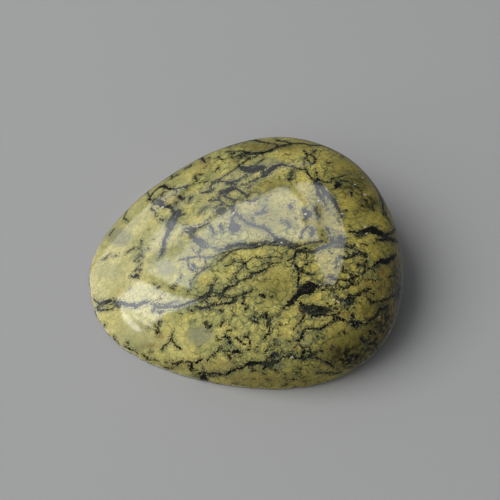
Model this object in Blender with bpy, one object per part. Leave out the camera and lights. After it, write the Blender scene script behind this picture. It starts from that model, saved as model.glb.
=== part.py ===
"""Serpentine rock: a hand-polished pebble, low and thin at its left end, blunt and
steep at its right end, with a flat sawn underside and a sharp, lightly chipped rim.

Units are metres and +Z is up. The origin is the middle of the pebble's box, on
the plane of the sawn underside. The long axis lies along X.
"""

import math

import bmesh
import bpy
from mathutils import Matrix, Vector
from mathutils.bvhtree import BVHTree

# Driving dimensions of the rounded body, before it is sawn flat
HALF_LENGTH = 0.0320
HALF_DEPTH = 0.0279
HALF_THICKNESS = 0.0115

# How square the outline is seen from above, and from the side: 2 is an ellipse
PLAN_SQUARENESS = 2.25
PROFILE_SQUARENESS = 2.7

# Growth of the depth and of the thickness from the middle to the right end
DEPTH_GROWTH = 0.18
DEPTH_CURVE = -0.11
THICKNESS_GROWTH = 0.35

# Both ends bend towards the front by this much
END_BEND = -0.0040

# Soft undulation left by hand polishing: height, and wavelength along X and Y
SWELL_HEIGHT = 0.00015
SWELL_LENGTH = 0.031
SWELL_WIDTH = 0.023

# The body leans, its right end and its back up, and is sawn along the plane z = 0
LEAN_ANGLE = math.radians(13.1)
BACK_LEAN_ANGLE = math.radians(1.3)
BODY_RISE = 0.0017

# Fineness of the body: squares along each side of the cube it starts from
BODY_SQUARES = 27

# The block that the saw takes away below the body
SAW_BLOCK_LENGTH = 0.090
SAW_BLOCK_DEPTH = 0.080
SAW_BLOCK_HEIGHT = 0.020

# Chips along the rim: bearing in degrees from +X, length and depth of the flake
RIM_CHIPS = (
    (172, 0.0026, 0.00050),
    (181, 0.0018, 0.00035),
    (189, 0.0034, 0.00055),
    (198, 0.0022, 0.00040),
    (206, 0.0030, 0.00060),
    (215, 0.0020, 0.00040),
    (224, 0.0028, 0.00045),
    (243, 0.0016, 0.00040),
    (289, 0.0032, 0.00080),
    (296, 0.0017, 0.00045),
    (331, 0.0020, 0.00040),
    (14, 0.0024, 0.00050),
    (58, 0.0030, 0.00055),
    (97, 0.0019, 0.00040),
    (133, 0.0027, 0.00050),
)
CHIP_HEIGHT_SHARE = 0.42
CHIP_STEP = 0.00004

# Finish
STONE_COLOUR = (0.300, 0.290, 0.095, 1.0)
STONE_ROUGHNESS = 0.16
STONE_METALLIC = 0.0


def clear_scene():
    """Remove every object, so the script can be run again in an open file."""
    for old in list(bpy.data.objects):
        bpy.data.objects.remove(old, do_unlink=True)


def make_collection(name):
    """Return a new collection linked to the scene."""
    collection = bpy.data.collections.new(name)
    bpy.context.scene.collection.children.link(collection)
    return collection


def make_stone_material():
    """Polished green serpentine."""
    material = bpy.data.materials.new("serpentine")
    material.use_nodes = True
    shader = material.node_tree.nodes["Principled BSDF"]
    shader.inputs["Base Color"].default_value = STONE_COLOUR
    shader.inputs["Roughness"].default_value = STONE_ROUGHNESS
    shader.inputs["Metallic"].default_value = STONE_METALLIC
    return material


def cube_to_sphere(point):
    """Spread a point of the cube -1 to 1 evenly over the unit sphere."""
    spread = [math.tan(coordinate * math.pi / 4) for coordinate in point]
    return Vector(spread).normalized()


def body_point(direction):
    """Place one direction of the unit sphere on the body's surface."""
    plan = (
        abs(direction.x) ** PLAN_SQUARENESS + abs(direction.y) ** PLAN_SQUARENESS
    ) ** (1 / PLAN_SQUARENESS)
    reach = (
        plan ** PROFILE_SQUARENESS + abs(direction.z) ** PROFILE_SQUARENESS
    ) ** (1 / PROFILE_SQUARENESS)
    u, v, w = direction / reach
    depth = HALF_DEPTH * (1 + DEPTH_GROWTH * u + DEPTH_CURVE * u * u)
    thickness = HALF_THICKNESS * (1 + THICKNESS_GROWTH * u)
    point = Vector((HALF_LENGTH * u, depth * v + END_BEND * u * u, thickness * w))
    across = math.sin(math.tau * point.x / SWELL_LENGTH + 1.0)
    along = math.cos(math.tau * point.y / SWELL_WIDTH)
    return point + direction * SWELL_HEIGHT * across * along


def make_body(collection, material):
    """Make the rounded body: a cube blown up to a sphere and moved by a formula."""
    mesh = bpy.data.meshes.new("stone")
    cage = bmesh.new()
    bmesh.ops.create_cube(cage, size=2.0)
    bmesh.ops.subdivide_edges(
        cage, edges=cage.edges[:], cuts=BODY_SQUARES - 1, use_grid_fill=True
    )
    for vertex in cage.verts:
        vertex.co = body_point(cube_to_sphere(vertex.co))
    lean = Matrix.Rotation(BACK_LEAN_ANGLE, 4, "X") @ Matrix.Rotation(-LEAN_ANGLE, 4, "Y")
    rise = Matrix.Translation((0.0, 0.0, BODY_RISE))
    bmesh.ops.transform(cage, matrix=rise @ lean, verts=cage.verts)
    centre_over_origin(cage)
    cage.to_mesh(mesh)
    cage.free()
    mesh.materials.append(material)
    mesh.shade_smooth()
    body = bpy.data.objects.new("stone", mesh)
    collection.objects.link(body)
    return body


def centre_over_origin(cage):
    """Move the body along X and Y until its box above the saw plane is centred."""
    kept = [vertex.co for vertex in cage.verts if vertex.co.z >= 0.0]
    middle_x = (min(point.x for point in kept) + max(point.x for point in kept)) / 2
    middle_y = (min(point.y for point in kept) + max(point.y for point in kept)) / 2
    bmesh.ops.translate(cage, vec=(-middle_x, -middle_y, 0.0), verts=cage.verts)


def make_saw_block(collection):
    """Make the block whose top is the plane of the saw cut."""
    mesh = bpy.data.meshes.new("saw_block")
    block = bmesh.new()
    bmesh.ops.create_cube(block, size=1.0)
    bmesh.ops.scale(
        block,
        vec=(SAW_BLOCK_LENGTH, SAW_BLOCK_DEPTH, SAW_BLOCK_HEIGHT),
        verts=block.verts,
    )
    bmesh.ops.translate(block, vec=(0.0, 0.0, -SAW_BLOCK_HEIGHT / 2), verts=block.verts)
    block.to_mesh(mesh)
    block.free()
    return make_cutter("saw_block", mesh, collection)


def make_cutter(name, mesh, collection):
    """Add a mesh as a cutter: shown as wire and left out of the model."""
    cutter = bpy.data.objects.new(name, mesh)
    cutter.hide_render = True
    cutter.display_type = "WIRE"
    collection.objects.link(cutter)
    return cutter


def rim_point(surface, bearing):
    """Find where a level ray from the origin leaves the body at the saw plane."""
    direction = Vector((math.cos(bearing), math.sin(bearing), 0.0))
    hit, normal, _, _ = surface.ray_cast(Vector((0.0, 0.0, CHIP_STEP)), direction)
    return hit, normal


def make_chip(number, surface, bearing_degrees, length, depth, collection):
    """Make the flake that one knock took out of the rim: a flattened ball."""
    bearing = math.radians(bearing_degrees)
    point, normal = rim_point(surface, bearing)
    outward = Vector((normal.x, normal.y, 0.0)).normalized()
    mesh = bpy.data.meshes.new(f"rim_chip_{number}")
    flake = bmesh.new()
    bmesh.ops.create_icosphere(flake, subdivisions=2, radius=1.0)
    height = length * CHIP_HEIGHT_SHARE
    bmesh.ops.scale(flake, vec=(height, length / 2, height), verts=flake.verts)
    turn = Matrix.Rotation(math.atan2(outward.y, outward.x), 4, "Z")
    place = Matrix.Translation(point + outward * (height - depth))
    bmesh.ops.transform(flake, matrix=place @ turn, verts=flake.verts)
    flake.to_mesh(mesh)
    flake.free()
    return make_cutter(f"rim_chip_{number}", mesh, collection)


def cut(body, cutter):
    """Take a cutter's shape away from the body."""
    modifier = body.modifiers.new(f"cut {cutter.name}", "BOOLEAN")
    modifier.operation = "DIFFERENCE"
    modifier.solver = "EXACT"
    modifier.object = cutter


def main():
    """Build the stone and its cutters."""
    clear_scene()
    parts = make_collection("serpentine_rock")
    cutters = make_collection("cutters")
    body = make_body(parts, make_stone_material())
    shape = bmesh.new()
    shape.from_mesh(body.data)
    surface = BVHTree.FromBMesh(shape)
    shape.free()
    for number, (bearing, length, depth) in enumerate(RIM_CHIPS, start=1):
        cut(body, make_chip(number, surface, bearing, length, depth, cutters))
    cut(body, make_saw_block(cutters))


if __name__ == "__main__":
    main()
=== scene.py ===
"""Serpentine rock: looks of a hand-polished, sawn pebble with dark veins.

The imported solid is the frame. One fine piece, the polished stone, stands for it: the
same leaning pebble form at a finer grain, with chips and nicks along its sawn rim, and
a network of dark veins that follows its surface.
"""

import logging
import math
import random
from dataclasses import dataclass
from dataclasses import field
from enum import Enum

import bmesh
import bpy
import numpy as np
from mathutils import Matrix
from mathutils import Vector
from mathutils.bvhtree import BVHTree


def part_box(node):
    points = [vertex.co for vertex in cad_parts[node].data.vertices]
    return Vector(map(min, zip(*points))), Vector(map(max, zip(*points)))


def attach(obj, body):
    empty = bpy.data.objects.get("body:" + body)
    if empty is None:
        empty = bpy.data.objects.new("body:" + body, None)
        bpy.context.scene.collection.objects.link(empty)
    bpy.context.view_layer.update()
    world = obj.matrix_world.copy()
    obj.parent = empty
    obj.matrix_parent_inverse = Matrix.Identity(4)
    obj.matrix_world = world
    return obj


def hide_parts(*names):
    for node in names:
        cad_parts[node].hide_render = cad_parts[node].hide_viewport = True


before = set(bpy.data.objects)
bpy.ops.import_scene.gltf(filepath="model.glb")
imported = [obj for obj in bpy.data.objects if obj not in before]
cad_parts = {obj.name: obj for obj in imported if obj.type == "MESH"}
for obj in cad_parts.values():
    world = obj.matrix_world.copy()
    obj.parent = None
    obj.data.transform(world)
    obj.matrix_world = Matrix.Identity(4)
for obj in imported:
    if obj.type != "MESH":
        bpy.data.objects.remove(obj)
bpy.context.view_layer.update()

LOG = logging.getLogger("serpentine_rock")
MM = 0.001
PIXELS_PER_MM = 5.2
DAYLIGHT = (0.94, 0.965, 1.0)
LIGHTS_DISTANCE = 1.6
MIDDLE_GREY = 0.5

Triple = tuple[float, float, float]
Colour = tuple[float, float, float, float]
Socket = bpy.types.NodeSocket


def srgb(red: float, green: float, blue: float) -> Colour:
    """Turn a colour that was read off into a linear one, by the rule of the sRGB standard.

    Args:
        red: Red, 0 to 255.
        green: Green, 0 to 255.
        blue: Blue, 0 to 255.

    Returns:
        The linear colour, with alpha 1.
    """
    linear = [
        part / 12.92 if part <= 0.04045 else ((part + 0.055) / 1.055) ** 2.4
        for part in (red / 255, green / 255, blue / 255)
    ]
    return (linear[0], linear[1], linear[2], 1.0)


class Tone(Enum):
    """What a vein or a speck is filled with, as a place on the tone ramp."""

    INK = 0.1
    SLATE = 0.3
    MOSS = 0.5
    UMBER = 0.7
    # PALE fills pale cream specks, and also the painted glints, small specks of painted highlight
    PALE = 0.9


class Tint(Enum):
    """A soft coloured patch in the ground of the stone, by its point attribute. The shade patch is
    partly painted shade.
    """

    CLEAR = "tint_clear"
    RUST = "tint_rust"
    OLIVE = "tint_olive"
    # SHADE: partly the stone's own dark zones, partly painted shade on the sides that turn away
    # from the light
    SHADE = "tint_shade"


@dataclass(frozen=True)
class Vein:
    """One vein, drawn in the 500 by 500 picture.

    The points are (x, y) or (x, y, width) in picture pixels. A point without a width
    keeps the width before it.
    """

    name: str
    points: tuple[tuple[float, ...], ...]
    width: float = 1.4
    tone: Tone = Tone.INK

    def strokes(self) -> list[Triple]:
        """Return the points with a width for each."""
        filled = []
        width = self.width
        for point in self.points:
            if len(point) > 2:
                width = point[2]
            filled.append((point[0], point[1], width))
        return filled

    def bolder(self, share: float) -> "Vein":
        """Return the same vein with all its widths made larger by a factor."""
        points = tuple((x, y, width * share) for x, y, width in self.strokes())
        return Vein(self.name, points, self.width * share, self.tone)


@dataclass(frozen=True)
class Patch:
    """A soft patch of tint: its middle and its two radii in picture pixels."""

    tint: Tint
    x: float
    y: float
    across: float
    along: float
    strength: float


LEFT_TIP_VEINS = (
    Vein("tip upper", ((92.5, 297.8, 1.2), (95.5, 300.5, 1.6), (98.5, 302.8, 2), (101, 304, 1.8))),
    Vein("tip knot", ((101, 303, 2.5), (104, 303, 3.8), (107, 302.3, 4), (110, 301, 2.5),
        (113, 300.3, 1.6), (116, 301.8, 2), (119, 302.2, 1.8))),
    Vein("tip middle", ((92.5, 307.5, 1), (94, 308.2), (97, 307, 1.4), (100, 306.8),
        (102.5, 305.5, 1.4))),
    Vein("tip lower", ((93.5, 310, 1.4), (97, 310), (100, 310.3), (105, 309.7), (110, 309.5, 1.4),
        (113, 308), (115, 305.5), (115.5, 303.5, 1))),
    Vein("tip join", ((109.5, 305, 0.8), (112, 303.8), (115.5, 302.5, 1))),
    Vein("rim dash 1", ((113.8, 339), (116, 341), (118.5, 344))),
    Vein("rim dash 2", ((124, 347), (126, 347.8)), 1.3),
    Vein("rim dash 3", ((128, 348), (130, 349), (133, 350.3))),
    Vein("rim dash 4", ((143, 355), (145, 356)), 1.3),
    Vein("rim thread", ((145, 360), (150, 360), (156, 360.3), (159, 361.5)), 0.8, Tone.UMBER),
    Vein("rim dash 5", ((165, 367.5), (168, 368)), 1.3),
    Vein("rim dash 6", ((176.5, 364), (179, 362.5), (182, 361.5)), 2.3),
    Vein("rim dash 7", ((185.5, 362.5), (188, 361.5), (190, 361.3)), 1.5),
    Vein("rim knot 1", ((191, 362.5), (191.5, 364.5)), 2.2),
    Vein("rim knot 2", ((189.5, 366), (192.5, 366.5)), 1.8),
    Vein("rim knot 3", ((191, 368), (191, 370), (193, 368.5)), 2.2),
    Vein("rim dash 8", ((195.5, 362.5), (197, 362.8), (198.5, 361), (200.5, 360.3)), 1.6),
    Vein("rim dash 9", ((202.5, 368), (204, 371), (206, 373)), 1.0),
)

WAIST_VEINS = (
    Vein("waist fork", ((116, 303, 2), (117.5, 305.5, 3.5), (119, 307.5, 2))),
    Vein("waist 1", ((118, 302.5, 3), (121, 303.5, 4), (126, 304.3, 3.5), (131, 305.5),
        (137, 306, 3.5), (142, 303.8, 3.2), (146, 302, 2.5), (150, 301, 1.2))),
    Vein("waist 2", ((155, 307, 2), (160, 307.5, 3), (165, 307.3), (170, 307, 3),
        (175, 306.3, 2.6), (180, 306, 2.3), (183, 305.3), (186, 304, 2.2), (190, 302.5, 1.8),
        (195, 300.5, 1.6), (198, 299.5, 2), (201, 298, 3.5), (204, 296.5, 4.5), (207, 295, 5),
        (210, 293, 4), (211.5, 290, 3), (211.5, 287, 2), (210.5, 284, 1))),
    Vein("waist top line", ((157, 302, 1), (160, 304), (164, 304.5, 1.2), (170, 303.5),
        (175, 303, 1))),
    Vein("waist cross", ((150, 304), (153, 303, 1.5), (155, 305), (154, 309), (152.5, 312)), 1.4),
    Vein("waist patch", ((157, 311), (160, 312.5, 2.5), (163, 311)), 1.5),
    Vein("waist spur", ((207, 297, 2), (211, 296.5), (215, 296, 1.8), (217, 295.5, 1.4))),
    Vein("waist drop", ((188, 307), (188.5, 309, 1.3), (189, 311)), 1.0),
    Vein("waist tick", ((191, 310.5), (193, 312)), 0.8),
    Vein("rise 1", ((213, 292, 1.5), (217, 293, 2), (220, 294.5, 3.5), (222, 294.5, 4),
        (223, 292, 3.5), (225, 289.5, 3), (228, 287, 3), (232, 286.3, 2.5), (235, 285, 2),
        (237, 283), (239, 281.5), (241, 280.8, 1.8), (245, 279, 2), (248, 278, 2), (250, 276.5, 3),
        (252, 274.8, 3), (255, 273.5, 2.2), (258, 272.5), (260, 271, 2.4), (263, 270.5, 3),
        (265, 269.5, 2.2), (267, 268, 1.8), (269, 267, 1.2))),
    Vein("rise tail", ((222, 295.5, 2), (226, 297.3, 1.3), (230, 297.8, 1.5), (233, 297.5, 2),
        (237, 295.5, 1.3), (241, 295), (245, 293.5, 1.5), (249, 292), (251, 291.3, 1))),
    Vein("rise thread", ((223, 293.5), (226, 295), (229, 296), (233, 296.5)), 1.0),
    Vein("rise foot", ((232, 297.5, 2), (236, 298.5, 2), (238, 298.3, 1))),
    Vein("rise hook", ((242, 295), (243.5, 297, 1.8), (244, 299), (243.5, 302, 1.2)), 1.2),
    Vein("strand", ((195.5, 306, 1.5), (197, 307, 2.5), (201, 307.8, 3), (206, 307.8, 3),
        (209, 307, 2.5), (212, 305.5), (216, 304.8), (220, 303.8, 2.6), (225, 303.5),
        (230, 303, 2.8), (233, 302, 3), (234, 300.5, 2))),
    Vein("strand foot", ((209, 307), (210, 309), (209, 310.5)), 1.5),
    Vein("strand loop", ((201.5, 301.5), (203, 300), (204.5, 300), (206.5, 302),
        (208.5, 304.5)), 1.2),
    Vein("strand tick 1", ((219, 299.5), (220.5, 298.5), (221.5, 297)), 1.2),
    Vein("strand tick 2", ((218, 310.5, 1.5), (220, 310.3, 2), (222, 311.3, 2), (223, 310, 1.2))),
    Vein("comma", ((241.5, 303.5), (244, 304, 1.6), (246, 305.5, 1.8), (247.5, 306.5, 2),
        (246, 308.5), (245, 310, 1)), 1.4),
    Vein("faint fall", ((232, 306), (233, 308), (232.5, 310), (233, 313),
        (233.5, 316)), 1.0, Tone.MOSS),
)

UPPER_LEFT_VEINS = (
    Vein("slate band", ((178, 212, 5), (176, 216, 6), (173.5, 220, 6), (171.5, 224, 6),
        (170, 229, 5), (168, 233.5, 3.5), (165.5, 237, 3), (164.5, 241, 3.4), (163.7, 245, 2.6),
        (163.5, 247, 1.4)), 5.0, Tone.SLATE),
    Vein("slate band edge", ((175.5, 212.3, 1.5), (173, 216, 1.2), (170, 219.5), (168, 223, 2),
        (168.5, 226, 2.2), (170, 229, 1.5))),
    Vein("slate band foot", ((162.5, 249.8, 2.5), (162.3, 252, 3), (161.5, 254, 2.2),
        (159, 258, 1.2)), 2.5, Tone.SLATE),
    Vein("swallow", ((184, 229, 1.4), (188, 228.5, 2), (192, 229, 3), (196, 228, 2.4), (200, 227),
        (204, 225, 2), (209, 222.5, 1.4))),
    Vein("swallow body", ((190.5, 230), (193.5, 231.5)), 3.0),
    Vein("swallow tail", ((184, 231, 0.9), (188, 232, 1.2), (191, 235), (193, 236))),
    Vein("swallow tick", ((184, 224.5), (187, 224.5)), 0.8),
    Vein("dash 1", ((110.3, 234), (113.5, 229.5)), 1.6),
    Vein("dash 2", ((103, 259.5), (106, 258)), 1.3),
    Vein("dash 3", ((107, 256.8), (109, 254.8)), 1.3),
    Vein("dash 4", ((115, 256), (117, 255.3)), 1.2),
    Vein("dash 5", ((126.5, 252.8, 1), (130, 250.5), (133.5, 248.5, 1.6))),
    Vein("dash 6", ((138, 248.5), (140, 248.2)), 1.2),
    Vein("dash 7", ((141, 240.5), (141.5, 244.5)), 1.2),
    Vein("dash 8", ((147.5, 248.3), (149, 250)), 0.9),
    Vein("cluster 1", ((142, 250.5), (142.7, 252), (142, 255), (142.5, 258)), 1.2),
    Vein("cluster 2", ((138, 255.5), (140, 254.5)), 1.1),
    Vein("cluster 3", ((135, 261), (136.5, 258.5), (140, 257)), 1.1),
    Vein("cluster 4", ((137.5, 262.5), (139, 261)), 1.0),
    Vein("cluster 5", ((140, 263.5), (141, 265)), 1.0),
    Vein("hook 1", ((135.5, 274), (139, 276)), 1.0),
    Vein("hook 2", ((131, 276), (135, 277.3), (138, 278)), 1.0),
    Vein("ring 1", ((171.5, 287), (173, 285.8), (175.3, 285.5)), 1.6),
    Vein("ring 2", ((171.5, 287.5), (174, 289.3)), 1.6),
    Vein("shoulder dash", ((170, 179.5), (173, 177.5), (176, 175.5), (178, 174.8)), 1.6),
    Vein("shoulder 1", ((150, 199, 1.6), (150.5, 196.5), (152, 194), (155, 191, 2),
        (157, 189, 2.6), (159, 187.5, 3.2), (162, 186.2, 3.6), (165, 186.8, 3), (168, 188.5, 2.2),
        (171, 188.8), (174, 189), (176, 189), (178, 188.3, 2.4), (180, 187.5), (183, 187, 2),
        (185, 187), (186.5, 188.8, 1.6), (188, 189.3, 1.2))),
    Vein("shoulder 2", ((184, 187), (188, 186), (191, 185), (193, 183.5), (195, 182),
        (197, 181)), 1.5),
    Vein("shoulder spur", ((176, 190), (176.5, 193), (176, 195)), 1.2),
    Vein("shoulder thread", ((168, 197.3), (172.5, 195), (175, 195.2)), 0.8, Tone.MOSS),
    Vein("shoulder knot", ((179, 195.5, 2), (181, 197.5, 3), (183, 199.3, 2.2))),
    Vein("shoulder tick", ((190.5, 197, 2), (192, 197, 2), (190, 198, 1.4), (189, 200.5),
        (188, 202.5, 1.2))),
    Vein("brow left", ((149, 198.5), (150.5, 200)), 1.5),
    Vein("brow drop", ((153, 201), (154, 202.5), (154.3, 203.5)), 2.2),
    Vein("brow upper", ((154.5, 199.5, 1.6), (157, 200.5, 3), (159, 201, 3.5), (161.5, 201.5, 3),
        (163, 203.5, 2.2))),
    Vein("brow haze", ((157, 202.5, 4), (161, 204, 5), (164, 205.5, 3.5)), 4.0, Tone.SLATE),
    Vein("brow lower", ((158, 204, 1.2), (160, 206, 1.8), (163, 206.5), (166, 206.5, 2.4),
        (168, 205.8, 2.6), (170, 206.5), (172, 208), (173, 210, 2.2), (172.5, 211, 1.8))),
    Vein("brow spot", ((161, 194.5), (162, 196)), 2.8, Tone.MOSS),
    Vein("brow thread", ((151, 208.5), (153, 210), (155, 211.5), (156, 213.5), (155.5, 215),
        (157, 216.5)), 1.4),
    Vein("brow dash", ((160, 219.3), (162, 220), (163.5, 220.3)), 1.6),
    Vein("amber specks 1", ((175.8, 202.5), (176.4, 202.6)), 2.4),
    Vein("amber specks 2", ((174.3, 204), (174.8, 204)), 1.3, Tone.UMBER),
    Vein("amber specks 3", ((175.8, 205.5), (176.3, 205.8)), 1.6, Tone.MOSS),
    Vein("crown pair 1", ((195.4, 177.5), (196.4, 178.6)), 2.8),
    Vein("crown pair 2", ((198, 174.8), (200, 174.3), (201.5, 175)), 1.8),
    Vein("crown pair 3", ((195, 174.3), (195.5, 176.5)), 1.2, Tone.UMBER),
    Vein("wave 1", ((202, 193), (204, 192, 2), (206, 192), (208, 192.3), (210, 191.8),
        (211.5, 190.8), (213, 190.2, 1.2)), 1.8),
    Vein("arc left", ((210.5, 187.5, 2.2), (211, 185.5, 2), (213, 183.5, 1.8), (216, 182),
        (219, 181.5, 1.6), (222, 181.3), (225, 181.5), (229, 182.3), (232, 183, 1.8),
        (236, 185, 1.2))),
    Vein("arc foot", ((209.5, 189.5), (211, 188)), 1.4, Tone.UMBER),
    Vein("long thread", ((212, 181.5), (216, 180.6), (220, 178.6), (224, 176.3), (228, 173.8),
        (232, 171.4), (236, 168.8), (239, 166.2)), 1.5),
    Vein("slant", ((198.5, 215, 1.2), (200, 213), (202, 211, 1.6), (204, 209), (206, 207),
        (208, 206, 1.2))),
    Vein("slant tick", ((200.5, 189), (201.5, 188.5)), 1.0),
    Vein("crown ticks 1", ((205.5, 181.8), (208, 181)), 1.0),
    Vein("crown ticks 2", ((199.8, 182.5), (200.8, 182.3)), 1.0),
    Vein("moss dash", ((213, 207.5), (216, 207.5)), 1.0, Tone.MOSS),
    Vein("crown corner", ((219, 206), (221, 204.3)), 1.6),
    Vein("moss patch", ((218, 211, 4), (220.5, 210, 6), (222, 212.5, 4.5)), 5.0, Tone.MOSS),
)

TOP_VEINS = (
    Vein("top edge 1", ((234, 143.8, 1.6), (238, 142.6, 2.2), (242, 141.8), (246, 141, 2.6),
        (250, 140.3), (255, 140.3), (258, 141.1), (262, 142, 2.8), (266, 142.8, 2.2),
        (270, 143.5, 1.4))),
    Vein("top edge 2", ((276, 139.4, 1.6), (278, 140.6, 2.2), (281, 141.2), (285, 141.4),
        (288, 142.6), (292, 143.6, 2.6), (296, 143.6), (300, 143.4), (304, 143.6), (307, 144.5),
        (310, 145.4), (316, 145.4), (321, 145.6, 2), (326, 147.2, 1.8), (331, 149.2, 1.2))),
    Vein("top rust", ((274, 143.4, 1.6), (277, 145.2, 2.4), (278, 147.5, 2.6)), 2.2, Tone.UMBER),
    Vein("top bar", ((275, 147.4, 2.2), (279, 146.6, 3), (284, 145.4), (290, 144.4, 2.4))),
    Vein("crest speck 1", ((226, 151.9, 1.4), (228, 151.5, 2.2),
        (231, 151.3, 1.6)), 2.0, Tone.MOSS),
    Vein("crest speck 2", ((232.5, 153.5), (234, 153.2)), 2.6),
    Vein("crest 1", ((234, 152, 1.4), (238, 151), (242, 151, 2), (246, 152, 2.4),
        (250, 152.5, 2.2))),
    Vein("crest 2", ((241, 154, 2.4), (244, 154, 4), (247, 154, 4.4), (250, 153.5, 3.4),
        (255, 153.5), (259, 153, 4), (263, 152.5), (266, 151.5, 3.2), (270, 150.5, 3),
        (273, 149.8, 2.4), (275, 148, 2))),
    Vein("crest 3", ((236, 156, 1.4), (239, 155.5, 2), (243, 155.5), (246, 156.5, 2))),
    Vein("crest 4", ((240, 158.5), (243, 157.3)), 2.0, Tone.UMBER),
    Vein("crest 5", ((248, 158), (249.5, 157)), 1.2),
    Vein("crest 6", ((255, 157.2), (257, 155.5)), 1.8, Tone.MOSS),
    Vein("crest streak", ((240, 164.8), (243, 162.6), (246, 160.6), (250, 159)), 1.8),
    Vein("crest tick", ((236, 161.6), (238.5, 161)), 1.0, Tone.UMBER),
    Vein("bundle", ((240, 166.5, 2), (244, 168.5, 5), (248, 169.5, 7.5), (252, 169.2, 8),
        (256, 168.6, 7.5), (260, 168.2, 6), (263, 168.2, 4), (266, 168.2, 2))),
    Vein("bundle spur", ((254, 165.5, 2.2), (258, 163.3, 1.8), (261, 160.6),
        (263.5, 159, 1.8)), 1.8, Tone.MOSS),
    Vein("bundle band", ((262.5, 172.5, 2), (264.5, 174.2, 4), (267, 172.8, 5), (270, 170.2, 5.5),
        (273, 168, 5), (276, 166, 4.4), (279, 164.8, 3.4), (281.5, 164.4, 2.4), (284, 164.9, 1.8),
        (287, 166), (289, 166.4), (292, 166.6, 1.6), (295, 168), (298, 168.8), (301, 169.5),
        (304, 169.3, 1.4))),
    Vein("bundle line", ((253, 180.6), (256, 179.1), (259, 177.8), (262, 177), (265, 176, 2.2),
        (267, 175)), 1.8),
    Vein("bundle tick 1", ((242, 184.6), (245, 184.4)), 1.6),
    Vein("bundle tick 2", ((248.5, 183), (250, 181.5)), 1.2),
    Vein("bundle tick 3", ((255, 182), (256.5, 181)), 1.4, Tone.MOSS),
    Vein("bundle tick 4", ((246.3, 175), (247.3, 177)), 1.4),
    Vein("grey shelf", ((228, 184, 2), (232, 182.2, 3), (236, 181, 2.6), (240, 179),
        (243, 177.5, 2), (245, 176, 1.4)), 2.6, Tone.SLATE),
    Vein("saddle", ((220.5, 191.5, 2.2), (223, 191.5, 4), (226, 191.8, 5.5), (229, 190, 6),
        (232, 188.5, 4.5), (235, 189, 2.8), (238, 189.4, 2.2), (240, 190.5, 1.8), (242, 192),
        (244, 193.5, 2), (246, 195.5), (247.5, 196.3, 2.4))),
    Vein("saddle drop", ((220.5, 193, 2.4), (220, 196, 2.2), (219.5, 198, 1.6))),
    Vein("saddle tail", ((224, 195), (227, 197), (230, 198.5), (233, 200)), 2.0, Tone.SLATE),
    Vein("saddle curl", ((247, 187), (249, 188), (250, 186)), 2.0, Tone.SLATE),
    Vein("saddle bridge", ((231, 184.5, 2.4), (232.5, 186.5, 2.8)), 2.4, Tone.SLATE),
    Vein("lone bar", ((288.7, 179.6), (291.3, 179.3)), 2.2),
    Vein("faint leaf", ((292, 170.5), (291.5, 173.5), (291, 176)), 2.6, Tone.MOSS),
    Vein("crown dash 1", ((215, 171), (217, 169.2), (219, 167)), 1.6),
    Vein("crown dash 2", ((217.8, 156.4), (220, 157.6)), 1.0),
    Vein("crown dash 3", ((220.5, 159), (224, 159.5)), 1.4),
    Vein("kite 1", ((304.5, 151), (305.6, 152.6), (308, 155.3), (306.5, 157.4),
        (305, 158.4)), 1.8),
    Vein("kite 2", ((308, 155.5), (311, 154), (313.5, 152), (315.5, 150, 1.3)), 1.8),
    Vein("kite 3", ((311, 155), (314, 157), (315.6, 159), (314.6, 162), (312.6, 164),
        (310.5, 163.4), (308, 160)), 1.5),
    Vein("kite foot", ((304, 160), (304, 165), (304.8, 169)), 1.0, Tone.MOSS),
    Vein("kite side", ((315, 169), (316.5, 172), (317, 175)), 1.2),
    Vein("stem 1", ((305.5, 169, 1.8), (306.8, 171.5), (308, 174, 1.6), (310, 176, 1.8),
        (311.6, 178), (314, 180, 2), (316, 180.5, 2.6), (317.5, 179, 2.2))),
    Vein("lilac ribbon", ((317.5, 180, 3.4), (319, 183, 4.4), (320.5, 186.5), (323, 190, 4),
        (326, 193), (329, 195.8), (332, 198.6, 3.4), (335, 203, 3), (337.5, 208, 2.6),
        (339.5, 212, 2.2), (341.5, 216, 2)), 3.6, Tone.SLATE),
    Vein("ribbon side", ((314, 183, 1.4), (317, 187, 2), (318, 191, 2.6), (319.5, 194.5, 3),
        (321.5, 198, 3), (323.5, 200.5, 1.8), (325.5, 205, 1)), 2.0),
    Vein("ribbon twig", ((320, 180), (322, 181.2), (324, 182), (327, 182.6), (331, 182.6)), 1.4),
    Vein("east dash 1", ((331.5, 178.9), (333.5, 178.6)), 2.0),
    Vein("east dash 2", ((336, 177.5), (340, 176.8), (343, 176), (345, 175)), 1.2),
    Vein("east dash 3", ((345, 170), (348.5, 170.8)), 1.0, Tone.UMBER),
    Vein("east dash 4", ((341, 180.8), (343.4, 180.8)), 2.0),
    Vein("east dash 5", ((346, 181.4), (348.2, 181)), 1.5),
    Vein("east knot", ((336, 182.5, 3), (338, 184, 5), (337, 187, 3.4), (335.4, 188.5, 1.8))),
    Vein("east moss", ((327.5, 162.6), (331, 163)), 2.2, Tone.UMBER),
    Vein("east thread", ((353.5, 185.3), (356, 187), (359.5, 187.6)), 1.6),
    Vein("east glint edge", ((350.8, 192.5), (351.6, 195.5)), 1.6),
    Vein("east rim 1", ((368, 176.5, 1.2), (371, 181, 1.6), (375, 186.5, 2), (378.5, 192),
        (381, 197), (382.6, 203, 2.2), (383, 210, 1.8), (383.5, 215, 1.2))),
    Vein("east corner", ((372.6, 207.5, 1.6), (373.8, 210, 2.6))),
)

# Veins under the mirrored panes: their slate tone is partly their own grey and partly painted
# reflection, the greying the panes' shine gives them
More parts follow.
